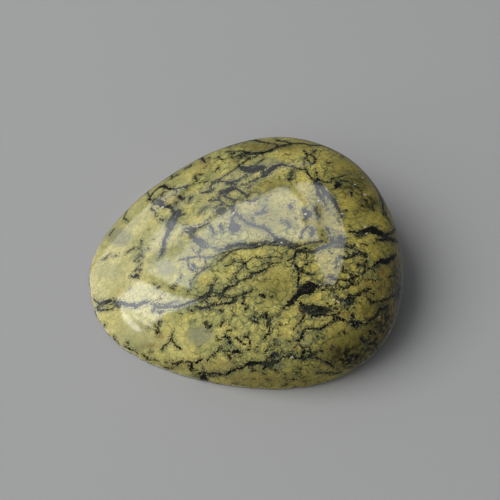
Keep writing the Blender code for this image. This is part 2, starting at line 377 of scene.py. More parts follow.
VEILED_VEINS = (
    Vein("veil 1", ((191, 234, 3), (195, 238, 4), (198, 240), (203, 241, 3)), 4.0, Tone.SLATE),
    Vein("veil 2", ((195, 240, 4), (200, 243, 5), (205, 247, 4)), 4.0, Tone.SLATE),
    Vein("veil 3", ((200, 250), (199, 255), (200, 258)), 3.0, Tone.SLATE),
    Vein("veil blob 1", ((210, 226, 2.6), (213, 230), (214, 234), (212, 236, 2)), 2.6, Tone.SLATE),
    Vein("veil blob 2", ((220, 225), (222, 229, 3.2), (223, 232, 2)), 2.4, Tone.SLATE),
    Vein("veil blob 3", ((232.5, 218, 2.4), (232.5, 222, 3.5), (233, 226, 9),
        (235.5, 228.5, 9)), 8.0, Tone.SLATE),
    Vein("corner knot", ((226, 205, 1.6), (228, 205.5, 2.2), (230, 206.5), (231.5, 208, 2),
        (233, 207, 2.4), (234, 206, 1.8))),
    Vein("corner feed", ((213, 200, 1.4), (219, 200.3, 2), (222, 202),
        (225, 204, 2)), 1.8, Tone.SLATE),
    Vein("grey sweep", ((232, 208.5, 3.6), (234, 212, 3.2), (237, 214.6, 3), (240, 217),
        (243, 219.6), (246, 222.4, 3.2), (250, 224), (254, 225.2), (258, 226.5), (262, 227.8, 3.4),
        (266, 229.3, 3), (269, 231.2), (270.8, 234), (273, 236), (276, 238),
        (278.5, 240)), 3.0, Tone.SLATE),
    Vein("sweep dark", ((254, 225, 0.9), (258, 226.4, 1.2), (262, 227.6, 1.6), (266, 229.4, 1.2),
        (270, 233, 1), (274, 237, 1.8), (277, 239.4, 2.4))),
    Vein("faint cloud 1", ((256, 214), (261, 213), (265, 211.5)), 3.4, Tone.SLATE),
    Vein("faint cloud 2", ((263, 210), (265, 206.5)), 2.0, Tone.SLATE),
    Vein("faint cloud 3", ((250, 201.5), (255, 200), (257.5, 199)), 2.6, Tone.SLATE),
    Vein("faint cloud 4", ((290, 206), (291.5, 207.5)), 3.2, Tone.SLATE),
    Vein("faint cloud 5", ((281, 220), (282.5, 223)), 1.8, Tone.MOSS),
    Vein("faint cloud 6", ((286, 221.5), (289, 225), (290, 227)), 2.6, Tone.SLATE),
    Vein("corner dot 1", ((233.6, 201.6), (234.6, 201)), 2.6),
    Vein("corner dot 2", ((236.5, 199.5), (238, 199.2)), 1.6),
    Vein("corner dot 3", ((242.6, 201.3), (243.4, 201.2)), 2.2),
    Vein("corner dot 4", ((247, 200.3), (248.5, 201)), 1.6),
    Vein("left dot 1", ((210.5, 200.3), (211.5, 202)), 2.0),
    Vein("arch band", ((217, 250, 2), (225, 248.5, 3.4), (232, 246, 4), (240, 244.5),
        (248, 245.2, 3.2), (255, 245.6, 2.4)), 3.6, Tone.SLATE),
    Vein("under band", ((180, 260), (186, 259), (192, 257.5), (198, 257), (205, 257.5),
        (213, 257)), 1.8, Tone.SLATE),
    Vein("under ring", ((193, 262), (195, 267), (200, 268), (205, 266)), 1.3, Tone.SLATE),
    Vein("west net 1", ((200, 245), (201, 251.5, 2), (199, 256), (193.5, 257.5), (187.5, 257.5)),
        1.6, Tone.SLATE),
    Vein("west net 2", ((192, 247.5), (193, 251), (196, 252.5), (199, 251)), 1.2, Tone.SLATE),
    Vein("west net 3", ((187.5, 261), (188, 266), (190, 270), (195, 271), (198.5, 272.5)),
        1.6, Tone.SLATE),
    Vein("west net 4", ((191, 263.5), (193.5, 267.5), (195, 269)), 1.1, Tone.SLATE),
    Vein("west net 5", ((193.5, 279), (196, 275.5), (199, 272.5), (203.5, 270, 1.8), (210, 266)),
        1.3, Tone.SLATE),
    Vein("west net 6", ((180, 270), (181, 275), (180.5, 279)), 0.9, Tone.SLATE),
    Vein("west net 7", ((191, 281.5), (190.5, 287.5)), 1.3, Tone.UMBER),
    Vein("west net 8", ((205, 242), (210, 247), (214, 248)), 1.2, Tone.SLATE),
    Vein("west net 9", ((205, 260), (206, 264)), 1, Tone.SLATE),
    Vein("east veil 1", ((304, 210, 4), (306.5, 213, 6), (308.5, 215.5, 6),
        (306, 218.5, 4)), 5.0, Tone.SLATE),
    Vein("east veil 2", ((314.5, 206, 1.6), (315.6, 209, 3), (316.6, 212), (318, 215, 3.4),
        (319, 217.5, 2))),
    Vein("east veil 3", ((307, 227), (304, 230), (302, 234), (301, 238)), 2.4, Tone.SLATE),
    Vein("east veil 4", ((312, 228, 3), (313, 232, 3.6), (311, 236, 2.6)), 3.0, Tone.SLATE),
    Vein("east veil 5", ((305, 243.8), (312, 242.2), (318, 242.2), (322, 241.4)), 2.4, Tone.SLATE),
    Vein("east veil 6", ((312, 252, 2.6), (317, 250, 3.4), (322, 247.6, 4), (328, 246),
        (333, 243.4), (335, 241.6, 3)), 3.4, Tone.SLATE),
    Vein("east veil 7", ((330.5, 240.5, 2), (333, 241.8, 3.6), (337, 242.2, 4), (341, 243),
        (345, 244, 3)), 3.6),
    Vein("east veil knot", ((341, 238.2), (342, 239)), 5.0),
    Vein("east veil under", ((333, 246.4), (337, 246.7), (341, 247.1)), 2.6),
    Vein("east veil line", ((325.8, 227), (327.6, 229.6), (329, 232), (330, 234)), 1.8),
    Vein("east veil dot", ((330.8, 237.6), (331.4, 238.4)), 2.2),
    Vein("east veil dash", ((332, 240.5), (334, 242.5)), 2.0),
    Vein("east slip", ((338, 219), (339.5, 222), (341, 224)), 1.6, Tone.SLATE),
    Vein("east slip edge", ((341, 215), (342, 216.8)), 1.6),
)

ARCH_VEINS = (
    Vein("arch lower", ((214, 256.5, 1.2), (219, 254), (224, 252.5, 1.6), (228, 251.8),
        (232, 250.5, 1.8), (237, 249.5), (242, 248.3), (247, 248, 2), (250, 247.8), (254, 247.3),
        (258, 246.8), (261, 245.8), (265, 244.5), (270, 244.8), (275, 245), (280, 245),
        (285, 245.3), (290, 245.8), (294, 246.2), (298, 246.5), (301, 246, 1.4))),
    Vein("arch upper", ((250, 244.3), (254, 244), (258, 243.3), (261, 242.3), (264, 241.3),
        (268, 241.3), (270, 243), (273, 243.3), (275, 241, 2), (278, 239.5, 2.4), (281, 238.5),
        (284, 238.8), (286, 240.5, 2), (289, 242.5), (293, 243.7), (297, 245), (300, 245.8),
        (304, 245, 1.2)), 1.6),
    Vein("arch knot", ((276, 242.8, 3), (279, 242, 4.4), (282, 241.6, 5), (284.5, 242.4, 3.4))),
    Vein("arch foot", ((218, 261.5), (221, 259.5), (224, 257.5), (228, 254), (232, 251.5)), 1.8),
    Vein("arch leg 1", ((210, 266), (206, 268), (203, 270, 2.2), (200, 272), (196, 275),
        (193, 279, 1.2)), 1.8),
    Vein("arch leg 2", ((225.5, 266), (228, 265.5), (231, 264), (232.5, 261),
        (234, 259, 1.4)), 1.8),
    Vein("net 1", ((234, 261.8), (240, 262), (244.5, 262.8), (248, 261.5), (250, 259.5),
        (252.5, 257.5)), 1.1),
    Vein("net 2", ((244.5, 263), (246, 267), (248.5, 270), (250.5, 273), (252, 275)), 1.3),
    Vein("net 3", ((244, 263), (243, 267), (240, 270), (236, 274)), 1.2),
    Vein("net 4", ((235, 275.5), (236, 278), (238, 280.5), (237, 283.5)), 1.2),
    Vein("net 5", ((215, 277.5), (216.5, 279), (214.5, 283), (213, 285), (211.5, 288)), 1.4),
    Vein("net 6", ((227, 279), (231, 278.5), (233, 278.5)), 0.9, Tone.UMBER),
    Vein("net 7", ((230, 280.5), (232, 281.5), (231, 283)), 0.9, Tone.UMBER),
    Vein("net 8", ((190.5, 281), (191, 285), (190.5, 288.5)), 1.0),
    Vein("net 9", ((255, 257.3), (256, 257.2)), 1.4),
    Vein("net 10", ((258, 257.8), (261, 258.3), (265, 258), (268, 257), (272, 257), (276, 257),
        (278, 257.5), (281, 258.3)), 1.1),
    Vein("net 11", ((263, 265), (265, 263.5), (267, 262.5), (269.5, 262), (269.5, 264),
        (268, 265.5)), 1.3, Tone.UMBER),
    Vein("net 12", ((272, 263.5), (274, 262.8), (277, 262.2), (280, 262.3)), 1.2),
    Vein("net 13", ((286, 266.3), (291, 266.5)), 1.0),
    Vein("net 14", ((287, 251), (289, 249.5), (291, 248.3), (293, 248), (295, 248.8)), 1.3),
    Vein("net 15", ((304, 247.5), (307, 248.5), (309, 250)), 1.0),
    Vein("net 16", ((304.5, 264.5), (307, 264.5), (309, 263), (312, 261.5)), 1.0),
    Vein("net 17", ((292, 262.5), (292.5, 264), (294.5, 262), (295.5, 260.5)), 1.0),
    Vein("centre patch", ((296, 250.5, 3), (299, 250.3, 4), (303, 250.5, 4.5), (307, 252, 3.5),
        (310, 252, 2.5))),
    Vein("centre leg", ((296, 253), (295, 256.5), (292.5, 258), (290, 259.5),
        (288.5, 260.5, 3)), 2.2),
    Vein("centre drop", ((306, 254), (306.5, 256), (306.5, 258.5)), 1.2),
    Vein("centre run", ((295, 265, 2.5), (296.5, 267), (298.5, 269), (300, 270.5, 2.2), (302, 272),
        (305, 273), (308, 273.3), (311, 274.3), (314.5, 274.3, 1.4))),
    Vein("centre twig 1", ((299, 268), (302, 267.5), (303, 268.3)), 1.2),
    Vein("centre twig 2", ((292, 273.5), (294, 272)), 1.0),
    Vein("centre fall", ((298, 272.5), (299, 275), (299, 277.5), (298.5, 280), (298, 283),
        (298.5, 285.5)), 1.6),
    Vein("centre twig 3", ((293, 278.5), (295.5, 278.3)), 1.2),
)

BOOT_VEINS = (
    Vein("boot top", ((299, 287, 3), (303, 287.5, 6), (307, 287.5, 10), (311, 287, 9),
        (315, 286.5, 6), (319, 287, 3), (321, 287, 1.5))),
    Vein("boot sole", ((300, 291, 5), (304, 291.5, 6), (308, 291.5, 5), (311, 291, 4))),
    Vein("boot leg", ((301, 290, 4), (298.5, 294, 4.5), (296, 297, 4.5), (293, 300.5, 4.5),
        (290.5, 303, 4), (288, 305, 3), (286, 306.5, 2.5), (283, 308, 1.5))),
    Vein("east run 0", ((320, 282.5), (324, 284.5)), 1.6, Tone.SLATE),
    Vein("east run 1", ((325, 284.8), (328, 285), (331, 285.3), (335, 285)), 1.5),
    Vein("east run 2", ((326, 286.5), (328, 289), (330, 289), (333, 288.3), (336, 288.5)), 1.0),
    Vein("east run 3", ((322, 290), (325, 290), (328, 290.3), (331, 290.7), (334, 291)), 1.6),
    Vein("east run 4", ((335, 280), (338, 279.3), (341, 279.3), (344, 279.5), (347, 280.3, 2.4),
        (350, 280), (352, 279), (354, 278.5), (356.5, 276.5), (359, 275.5, 1.4)), 1.8),
    Vein("east run 5", ((352.5, 276), (355, 275.3), (356, 277)), 1.8),
    Vein("east run 6", ((338, 280.5), (337, 282.5), (335.5, 284.5)), 1.5),
    Vein("east run 7", ((350, 280.5), (351, 282.5), (351, 284.5)), 1.5),
    Vein("east run 8", ((348, 288), (349, 286), (351, 284.5), (354, 284.3), (357, 284),
        (359.5, 282.8)), 1.8),
    Vein("east run 9", ((337, 289), (339, 289.5), (340, 288), (340.5, 286.5)), 1.8),
    Vein("east run 10", ((343.2, 286.8), (344, 288.5)), 2.0),
    Vein("east run 11", ((361, 279.8), (366, 280), (370, 279.3)), 1.3, Tone.UMBER),
    Vein("east run 12", ((372, 279), (374, 280), (376, 281)), 1.4),
    Vein("east run 13", ((377, 280), (380, 279.8)), 1.3),
    Vein("east run 14", ((387.5, 278), (389, 277), (391, 276), (394, 275.5)), 1.6),
    Vein("east fan 1", ((349, 295.2, 2), (352, 295.4), (353, 297.6, 2.2), (356, 297),
        (358, 294.8, 2.4), (360, 292.8), (362, 291.5), (364, 290.3), (367, 289.3),
        (371, 288.8, 1.6)), 2.2),
    Vein("east fan 2", ((356, 296.8), (359, 296), (361, 295.4)), 1.6),
    Vein("east fan 3", ((366, 296, 1.2), (368, 298.5, 1.6), (371, 299.6), (372, 301.4, 2),
        (375, 301.6), (378.5, 301.4, 2.4), (381, 301, 1.6), (384, 299.6), (387, 299.4, 2),
        (389, 298.4), (391, 297), (394, 295.6, 2.2), (396, 294), (397.2, 291.4), (399, 289.4, 2.6),
        (401.4, 287.4, 2.2))),
    Vein("east fan 4", ((371.8, 302), (370.8, 304.5)), 1.5),
    Vein("east fan 5", ((396.4, 298.5, 2), (398.4, 294.5, 3), (400.4, 290.6, 3.6)), 3.0),
    Vein("east fan speck", ((373, 294.2), (375, 293.4)), 1.4, Tone.UMBER),
    Vein("fan speck 1", ((366, 292.6), (367, 293.2)), 1.8),
    Vein("fan tangle 1", ((336, 296), (338, 297.8), (340, 298.8), (343, 299.8, 2.4),
        (345, 300.8, 1.8)), 2.0),
    Vein("fan tangle 2", ((343.5, 301, 2), (346, 302, 4), (349, 303, 5.5), (352, 302.6, 4.5),
        (353.8, 301, 2)), 4.0),
    Vein("fan tangle 3", ((345, 304.5), (346, 306), (348, 306.6), (350, 305)), 2.0),
    Vein("fan tangle 4", ((354, 297.5), (353.6, 299.5), (354, 301)), 1.5),
    Vein("fan tangle 5", ((344, 308), (345, 309.6), (347.4, 309.4)), 1.3),
    Vein("fan tangle 6", ((347.4, 297), (349, 299), (351, 299)), 1.9),
    Vein("fan tangle 7", ((336.6, 299), (339, 300.4), (341.6, 301.4)), 1.5, Tone.UMBER),
    Vein("fan tangle 8", ((345.6, 296.4), (347, 295.8)), 1.3),
    Vein("fan cream 1", ((336.8, 303), (338, 301.4)), 1.4, Tone.PALE),
    Vein("fan cream 2", ((344, 302.4), (345, 302.6)), 1.0, Tone.PALE),
    Vein("fan cream 3", ((346.2, 307.4), (347, 307.8)), 1.4, Tone.PALE),
    Vein("fan cream 4", ((344.4, 297.4), (346, 297.6)), 0.9, Tone.PALE),
    Vein("fan cream 5", ((334.6, 299.8), (335.4, 300)), 0.9, Tone.PALE),
    Vein("fan cream 6", ((348.6, 305.6), (349.4, 305.8)), 0.8, Tone.PALE),
    Vein("fan cream 7", ((381.8, 296.6), (383.6, 296.6)), 0.8, Tone.PALE),
)

CENTRE_RIGHT_VEINS = (
    Vein("long patch", ((300.5, 303, 2), (302, 306, 4), (304, 308, 5), (308, 309, 6),
        (312, 310.5, 8), (316, 311, 8.5), (320, 311, 7.5), (324, 310.5, 5.5), (328, 310.5, 3.5),
        (331, 310.5, 2))),
    Vein("long patch left", ((299.5, 309.5), (302, 312), (305, 314.5)), 2.0, Tone.UMBER),
    Vein("long line", ((312, 315.5), (318, 315.5), (322, 315), (327, 315.2), (334.5, 315.5)), 1.4),
    Vein("long fork", ((334.5, 315.5), (337, 314), (339, 312), (341, 310)), 1.4),
    Vein("keel", ((335, 316.6, 1.8), (338, 317.3), (341, 318.8, 2.2), (343.5, 320), (345, 320.6),
        (347, 321.8), (349, 322.4, 2.2), (351, 321.8, 1.6), (354, 322.8, 2.6), (357, 323.4),
        (361, 323, 1.8), (364, 324.4), (366, 324.6, 2), (367.4, 322.8, 1.8))),
    Vein("keel haze", ((352, 321.6, 3), (355, 323, 4.4), (358, 323.8, 3)), 3.6, Tone.MOSS),
    Vein("keel rise", ((368, 320.6, 1.4), (371, 320, 1.8), (373, 318.6), (375.6, 316.6, 2),
        (377, 314, 2.4), (378.4, 312), (379.6, 309.6, 2), (381, 308.8, 2), (384, 308.2),
        (386, 307.2, 2.6), (388, 306.8, 2))),
    Vein("keel loop", ((352.5, 325), (354, 327), (357, 327.6, 2), (358, 326.6)), 1.6),
    Vein("keel spot 1", ((352.4, 315), (352.8, 316)), 3.0),
    Vein("keel spot 2", ((354, 308), (354.6, 308.4)), 1.8),
    Vein("right mark 1", ((360.6, 338.2), (362, 340), (364, 341.4)), 1.8),
    Vein("right mark 2", ((366, 345), (366.5, 348), (366, 350)), 1.2, Tone.MOSS),
    Vein("right mark 3", ((332.8, 346.5), (331.5, 349), (330.5, 351)), 1.1, Tone.UMBER),
    Vein("right mark 4", ((337, 334.4), (339, 334)), 1.4, Tone.UMBER),
    Vein("right mark 5", ((343.6, 332), (344.6, 333.4)), 1.4, Tone.UMBER),
    Vein("right mark 6", ((375, 327), (377, 327.4)), 1.6, Tone.UMBER),
    Vein("right mark 7", ((381, 325), (381.4, 328)), 1.6, Tone.UMBER),
    Vein("right mark 8", ((369.6, 331), (370, 333.6)), 1.8),
    Vein("right mark 9", ((373.6, 332), (375.6, 334.6)), 1.4),
    Vein("hang thread", ((304.5, 315.5, 1.6), (303, 318), (301, 320.5), (298.5, 323.5, 1.2),
        (296, 327), (293.5, 329.5, 0.8)), 1.4, Tone.UMBER),
    Vein("middle wave", ((303, 330.5), (305, 329.5), (307.5, 328.3), (310, 329), (313, 328.5),
        (317, 329), (320, 328.8, 2.2), (323, 327.8), (326, 326), (329, 323.8), (331.5, 322.3),
        (333, 321.3), (335, 321.5)), 1.6),
    Vein("middle fall", ((303.5, 332, 2), (302.5, 335.5), (301, 338), (299, 340.3),
        (296, 341.3, 1.4))),
    Vein("branch a", ((254, 316.5), (255.5, 317.5), (258, 318)), 1.6),
    Vein("branch b", ((254.5, 321), (255.5, 322), (258, 322.5)), 1.4),
    Vein("branch c", ((261.5, 315.5), (263.5, 317.5), (266, 317), (267, 315), (266.5, 313)), 1.8),
    Vein("branch d", ((267, 317, 2), (268, 319.5), (268.5, 321, 3.5), (268.5, 324, 2.5),
        (268, 326, 3), (267.5, 328, 1.5))),
    Vein("branch e", ((266, 319.5), (270, 320)), 1.0),
    Vein("branch f", ((269.5, 327), (269.5, 330), (269, 332), (268, 334)), 1.2),
    Vein("branch g", ((268, 334), (266, 335.5, 2.5), (265, 337.5), (264, 338.5, 1.4)), 1.6),
    Vein("branch h", ((271.5, 333), (272.5, 331.5)), 1.2),
    Vein("branch i", ((270, 316.5), (276, 315.5)), 1.2, Tone.UMBER),
)

FRONT_LEFT_VEINS = (
    Vein("pepper 1", ((220.5, 325.3), (222, 323), (224, 321.5)), 1.6),
    Vein("pepper 2", ((225.8, 334), (225, 336), (224, 337), (226, 337.5), (227, 338.5)), 2.0),
    Vein("pepper 3", ((223.5, 337), (221.5, 338), (220, 340)), 1.4),
    Vein("pepper 4", ((231, 340), (230.5, 342), (229.5, 343.5)), 1.4),
    Vein("pepper haze", ((229, 338.5), (230, 342.5)), 3.0, Tone.SLATE),
    Vein("pepper 5", ((216.5, 337), (218.5, 339.5)), 1.3),
    Vein("pepper 6", ((236, 338.5), (237.5, 337.3)), 1.3),
    Vein("pepper 7", ((239, 340), (241, 341.5), (242.5, 343.5), (245, 344.5)), 1.6),
    Vein("pepper 8", ((248.5, 333.5), (247.5, 336), (249, 338.5), (250.5, 341.5),
        (249.5, 344.5)), 1.2),
    Vein("pepper 9", ((229, 321.5), (229.5, 325), (232, 327), (236, 328.5)), 0.8),
    Vein("pepper 10", ((220.5, 346), (222.5, 347.5), (221.5, 349)), 1.2),
    Vein("pepper 11", ((205.5, 323.5), (207.5, 325.5), (208.5, 328)), 3.0, Tone.MOSS),
    Vein("pepper 12", ((260, 294.5), (263, 294), (262, 296), (264.5, 297.5)), 2.2),
    Vein("pepper 13", ((270.5, 298.5), (272.5, 296)), 1.3, Tone.UMBER),
    Vein("pepper 14", ((270.5, 345), (272, 345.8), (274.5, 345.3)), 1.4),
    Vein("pepper 15", ((254.5, 349), (255.5, 348), (258, 346.5)), 1.2),
    Vein("pepper 16", ((247.5, 349.7), (251, 349.5)), 1.3),
    Vein("pepper 17", ((265.5, 352), (267, 350.5), (268.5, 349)), 1.4),
    Vein("pepper 18", ((301, 346), (303.5, 348.5)), 2.0),
    Vein("bow trunk", ((173.5, 331.5), (172, 334), (172.5, 336.5), (171, 338.5), (170, 341),
        (167, 344), (164, 346.5), (162.5, 349.5)), 1.3),
    Vein("bow arm", ((171.5, 339), (174, 342), (175.5, 344.5), (179, 347.5),
        (179.6, 348, 2.2)), 1.4),
    Vein("pair 1", ((158.5, 320.5), (158.5, 323), (158, 327), (157.5, 330), (158.5, 331.5),
        (157, 333.5)), 2.2),
    Vein("pair 2", ((154.5, 325), (157.5, 323.5)), 1.2),
    Vein("pair 3", ((155, 329), (156, 331), (157, 333.5)), 1.0),
    Vein("shore 1", ((195, 374, 1), (199, 373, 1.4), (203, 373.7), (206, 373.5, 2), (209, 374),
        (213, 373.5), (218, 373.8, 1.8), (222, 374.3), (227, 374.5, 1.8), (229, 373, 2.2),
        (231, 371.5, 2.5), (235, 370, 2), (237, 368.7), (241, 368.3, 1.6), (244, 367),
        (246, 365.5, 3), (249, 364.5, 4.5), (252, 363.5, 4.5), (256, 363.3, 3), (260, 363, 3),
        (262, 363, 3.5), (265, 364, 5), (268, 364, 6), (271, 363.5, 5), (274, 362, 4),
        (277, 361.5, 3), (280, 360, 2), (282, 358.5, 1.8), (285, 357, 2.2), (288, 356.5, 2.2),
        (291, 356, 1.8), (294, 356.3), (296, 357.8), (299, 358.5, 1.5), (302, 358.5, 2),
        (305, 358, 2.5), (308, 356.5, 3.5), (311, 355.8, 3), (314, 355, 2), (316, 353.5, 1.5))),
    Vein("shore 2", ((210, 376.3), (217.5, 375.8)), 1.0),
    Vein("shore crossing", ((205, 373, 3), (203.5, 376, 6), (203.5, 379, 7), (205, 381.5, 5))),
    Vein("shore twig 1", ((301.5, 357), (302, 354.5), (303, 352.5)), 2.4),
    Vein("shore twig 2", ((302, 358.5), (302.5, 361)), 1.5),
    Vein("shore twig 3", ((300, 352), (307, 351.8), (310, 350.5)), 1.0),
    Vein("shore twig 4", ((309.5, 346.5), (309.8, 349), (310.5, 351.5), (312.5, 353),
        (315.5, 353.5)), 1.8),
    Vein("shore tail 1", ((311, 358), (316, 358), (321, 359.5)), 1.3),
    Vein("shore tail 2", ((324.5, 361), (326, 362.3), (328, 362)), 2.2),
    Vein("shore tail 3", ((328, 363), (330, 364.5), (332, 366), (334, 368)), 1.5),
    Vein("shore dash", ((290, 353.3), (292.5, 353.3), (295, 354)), 1.2),
    Vein("shore knot 1", ((267, 356), (267.5, 358), (267, 360)), 1.5),
    Vein("shore knot 2", ((270.5, 355), (272, 357), (273, 359), (272, 361)), 2.2),
    Vein("shore knot 3", ((273, 354), (276, 353.5), (278.5, 355.5), (277, 357)), 2.5, Tone.SLATE),
    Vein("shore drop 1", ((264.5, 366), (264.5, 368), (263.5, 369.5)), 1.8),
    Vein("shore drop 2", ((270.5, 367), (271, 369.5)), 1.3),
    Vein("shore drop 3", ((274.5, 370.3), (279, 370)), 1.2),
    Vein("shore drop 4", ((250, 368.5), (254, 368.5)), 1.0),
    Vein("shore drop 5", ((251, 371), (255, 370.4)), 1.5),
    Vein("front bow", ((207, 361.5, 0.8), (208.5, 359, 1.2), (209.5, 357.5, 1.8), (211, 356),
        (213, 354.8), (215.5, 354.5, 1.2))),
    Vein("front tick 1", ((216.5, 352.5), (218, 351), (218.5, 349.5)), 1.2),
    Vein("front bar", ((224, 351.5, 0.8), (228, 351.5, 1.2), (231, 352, 2), (234, 351.8, 3),
        (238, 352, 2.6), (240, 352.5, 1.4))),
    Vein("front blot", ((229, 356), (230.5, 358.5)), 3.0, Tone.UMBER),
    Vein("front tick 2", ((240, 357), (241.5, 356), (243, 355.5)), 1.3),
    Vein("flank 1", ((266.5, 379), (269, 380)), 1.4, Tone.UMBER),
    Vein("flank 2", ((282, 386), (285, 385.3), (286, 384)), 1.2),
    Vein("flank 3", ((292, 379.7), (294, 379.3)), 1.2),
    Vein("flank 4", ((303.5, 381), (306, 381.2)), 1.2),
    Vein("flank 5", ((295.5, 371.8), (297.5, 373.5), (299.5, 372)), 1.3),
    Vein("flank 6", ((320.5, 350.5), (322.5, 351.3)), 2.0),
    Vein("flank 7", ((331, 349), (333, 346)), 1.2, Tone.UMBER),
    Vein("flank 8", ((317, 372.5), (330, 373), (340, 373)), 2.5, Tone.MOSS),
)

RIGHT_VEINS = (
    Vein("far edge", ((377.5, 189, 1.8), (380, 196, 2.4), (382.5, 203, 2.4), (383.5, 210, 1.8),
        (387, 217, 1.6), (391, 224, 1.4))),
    Vein("crest line", ((349.5, 232.5, 1.4), (351, 231.5), (353, 231.5), (356, 232.5, 2),
        (358, 233, 3.5), (361, 233.5, 4), (363.5, 232.5, 4), (367, 230.5, 4), (370, 230, 5),
        (373, 230, 6), (376, 231, 5.5), (379, 232.5, 5), (382, 234.5, 5), (385, 236.5, 6),
        (388, 238, 4), (391, 239.5, 3), (394, 240.5, 2.5), (398, 241.5, 2))),
    Vein("crest fork", ((386, 235), (389, 233.5), (392, 232.5), (394, 230.5), (396, 229)), 2.2),
    Vein("crest under", ((377, 239.8), (382, 240.3), (386, 239)), 2.0),
    Vein("crest thread", ((355, 235), (356.5, 237), (358, 235.5), (362, 236)), 1.0),
    Vein("side 1", ((344, 246.3), (346, 246), (349, 247), (352, 247.8), (355, 248.8)), 1.8),
    Vein("side 2", ((354, 245), (355, 246)), 2.0),
    Vein("side 3", ((361, 244), (364, 244), (367, 245)), 1.0, Tone.UMBER),
    Vein("side 4", ((346, 251.5), (349.5, 255)), 1.3),
    Vein("side 5", ((340, 256.5), (342, 257.3), (344, 258), (347, 257.8), (350, 257), (353, 256),
        (355, 254.5), (357, 253.5), (360, 253, 2.8), (362, 253.8), (364, 254.3), (365, 256)), 2.1),
    Vein("side 6", ((356, 250.5), (359, 251), (361, 252)), 1.2),
    Vein("side 7", ((337, 265.5), (336, 267.5)), 1.2),
    Vein("side 8", ((337, 261), (336, 263)), 2.0, Tone.SLATE),
    Vein("side 9", ((343, 267), (343.5, 269), (342.5, 271)), 1.5),
    Vein("side 10", ((345.5, 270.5), (347, 272), (350, 274), (351, 274.5)), 1.5),
    Vein("side 11", ((357.5, 264), (359.5, 264.5), (362, 265), (364, 266.5)), 1.4),
    Vein("side 12", ((357, 265), (358, 267)), 1.2),
    Vein("side 13", ((365.5, 264), (366.5, 261.5)), 1.6),
    Vein("side 14", ((363, 272.5), (365, 271), (367, 269.5), (369, 268.5), (371.5, 268.5)), 1.8),
    Vein("side 15", ((374.5, 266), (375.5, 264.8), (377, 263.3), (379, 262), (382, 261.5, 3.5),
        (385, 262, 4), (388, 261, 3.5), (390, 259, 3), (392, 257.5, 3), (394, 256.5, 2.5),
        (396, 255, 1.5)), 2.0),
    Vein("side 16", ((328, 250), (330, 252), (332, 253.5)), 0.8),
    Vein("side 17", ((331, 277), (333, 278.5)), 2.8),
)

# Single dark specks: middle in picture pixels
DARK_SPECKS = (
    (148.5, 230), (153.5, 239.5), (137, 268.5), (141, 267.5), (135.3, 270.3), (140, 270.3),
    (138, 278), (154.5, 284), (158, 287.3), (130.3, 288.5), (163, 293.8), (160.8, 299), (161, 322),
    (105.5, 324.8), (103.5, 329), (110, 337), (113.5, 337), (127.5, 342.5), (148.3, 327.8),
    (151, 351.5), (146.8, 357.5), (136.5, 352.5), (166.5, 362), (172.5, 363.3), (172, 368),
    (181.5, 234.5), (252.5, 218.3), (207, 220.5), (210.5, 218.3), (216, 247.5), (181.5, 314),
    (228.5, 330.5), (231, 330), (231, 337.5), (244.5, 337), (210.5, 326), (265.5, 279), (273, 266),
    (252.5, 289.5), (262.5, 312.5), (279.5, 312.5), (279, 324.5), (275, 340), (289, 341.5),
    (298.3, 343.5), (294.3, 347.3), (317, 337.2), (327.5, 303.3), (330, 307.5), (336, 303.5),
    (313, 305.5), (281.5, 351.5), (258, 352), (264.5, 374.3), (285, 374), (285.5, 378.3),
    (287, 383.5), (314.5, 367.5), (317, 373), (341, 216), (338, 232), (350, 226.5), (374.3, 243),
    (377.3, 226), (399.5, 248), (399.5, 265.5), (389, 290), (366, 293), (375, 272), (322.5, 235),
    (188, 291), (183, 214.5), (199, 201.3), (213.5, 198), (208.5, 157.5), (203.5, 168.3),
    (200, 174.5), (232, 157), (246.5, 196.3), (256, 191), (249.5, 193.5), (296, 218), (306, 169),
    (346, 210.5), (328, 208.5), (351.5, 174.5), (335.5, 308.7), (378.5, 301.4), (384.5, 300.5),
    (356.8, 264.3),
)

# Painted glints, pale specks of painted highlight where grains catch the light: middle in picture
# pixels
PAINTED_GLINTS = (
    (274.5, 307), (283.3, 359.2), (292, 357), (278.5, 257.7), (292.3, 266), (281, 243),
    (339.5, 220.3), (348.3, 278.3), (356.5, 245.8), (366.5, 233.5), (363, 177.5), (305, 214),
    (185.5, 230.5), (341.6, 214), (318.5, 200.8), (364.5, 195), (367.5, 194.5), (350, 193.5),
    (364.8, 227), (233.5, 213.3), (354.6, 184.6), (212.5, 186.5), (226.5, 205.4),
    (228.5, 207.6), (276.4, 151.4), (162.5, 207.5), (379, 317.5),
)

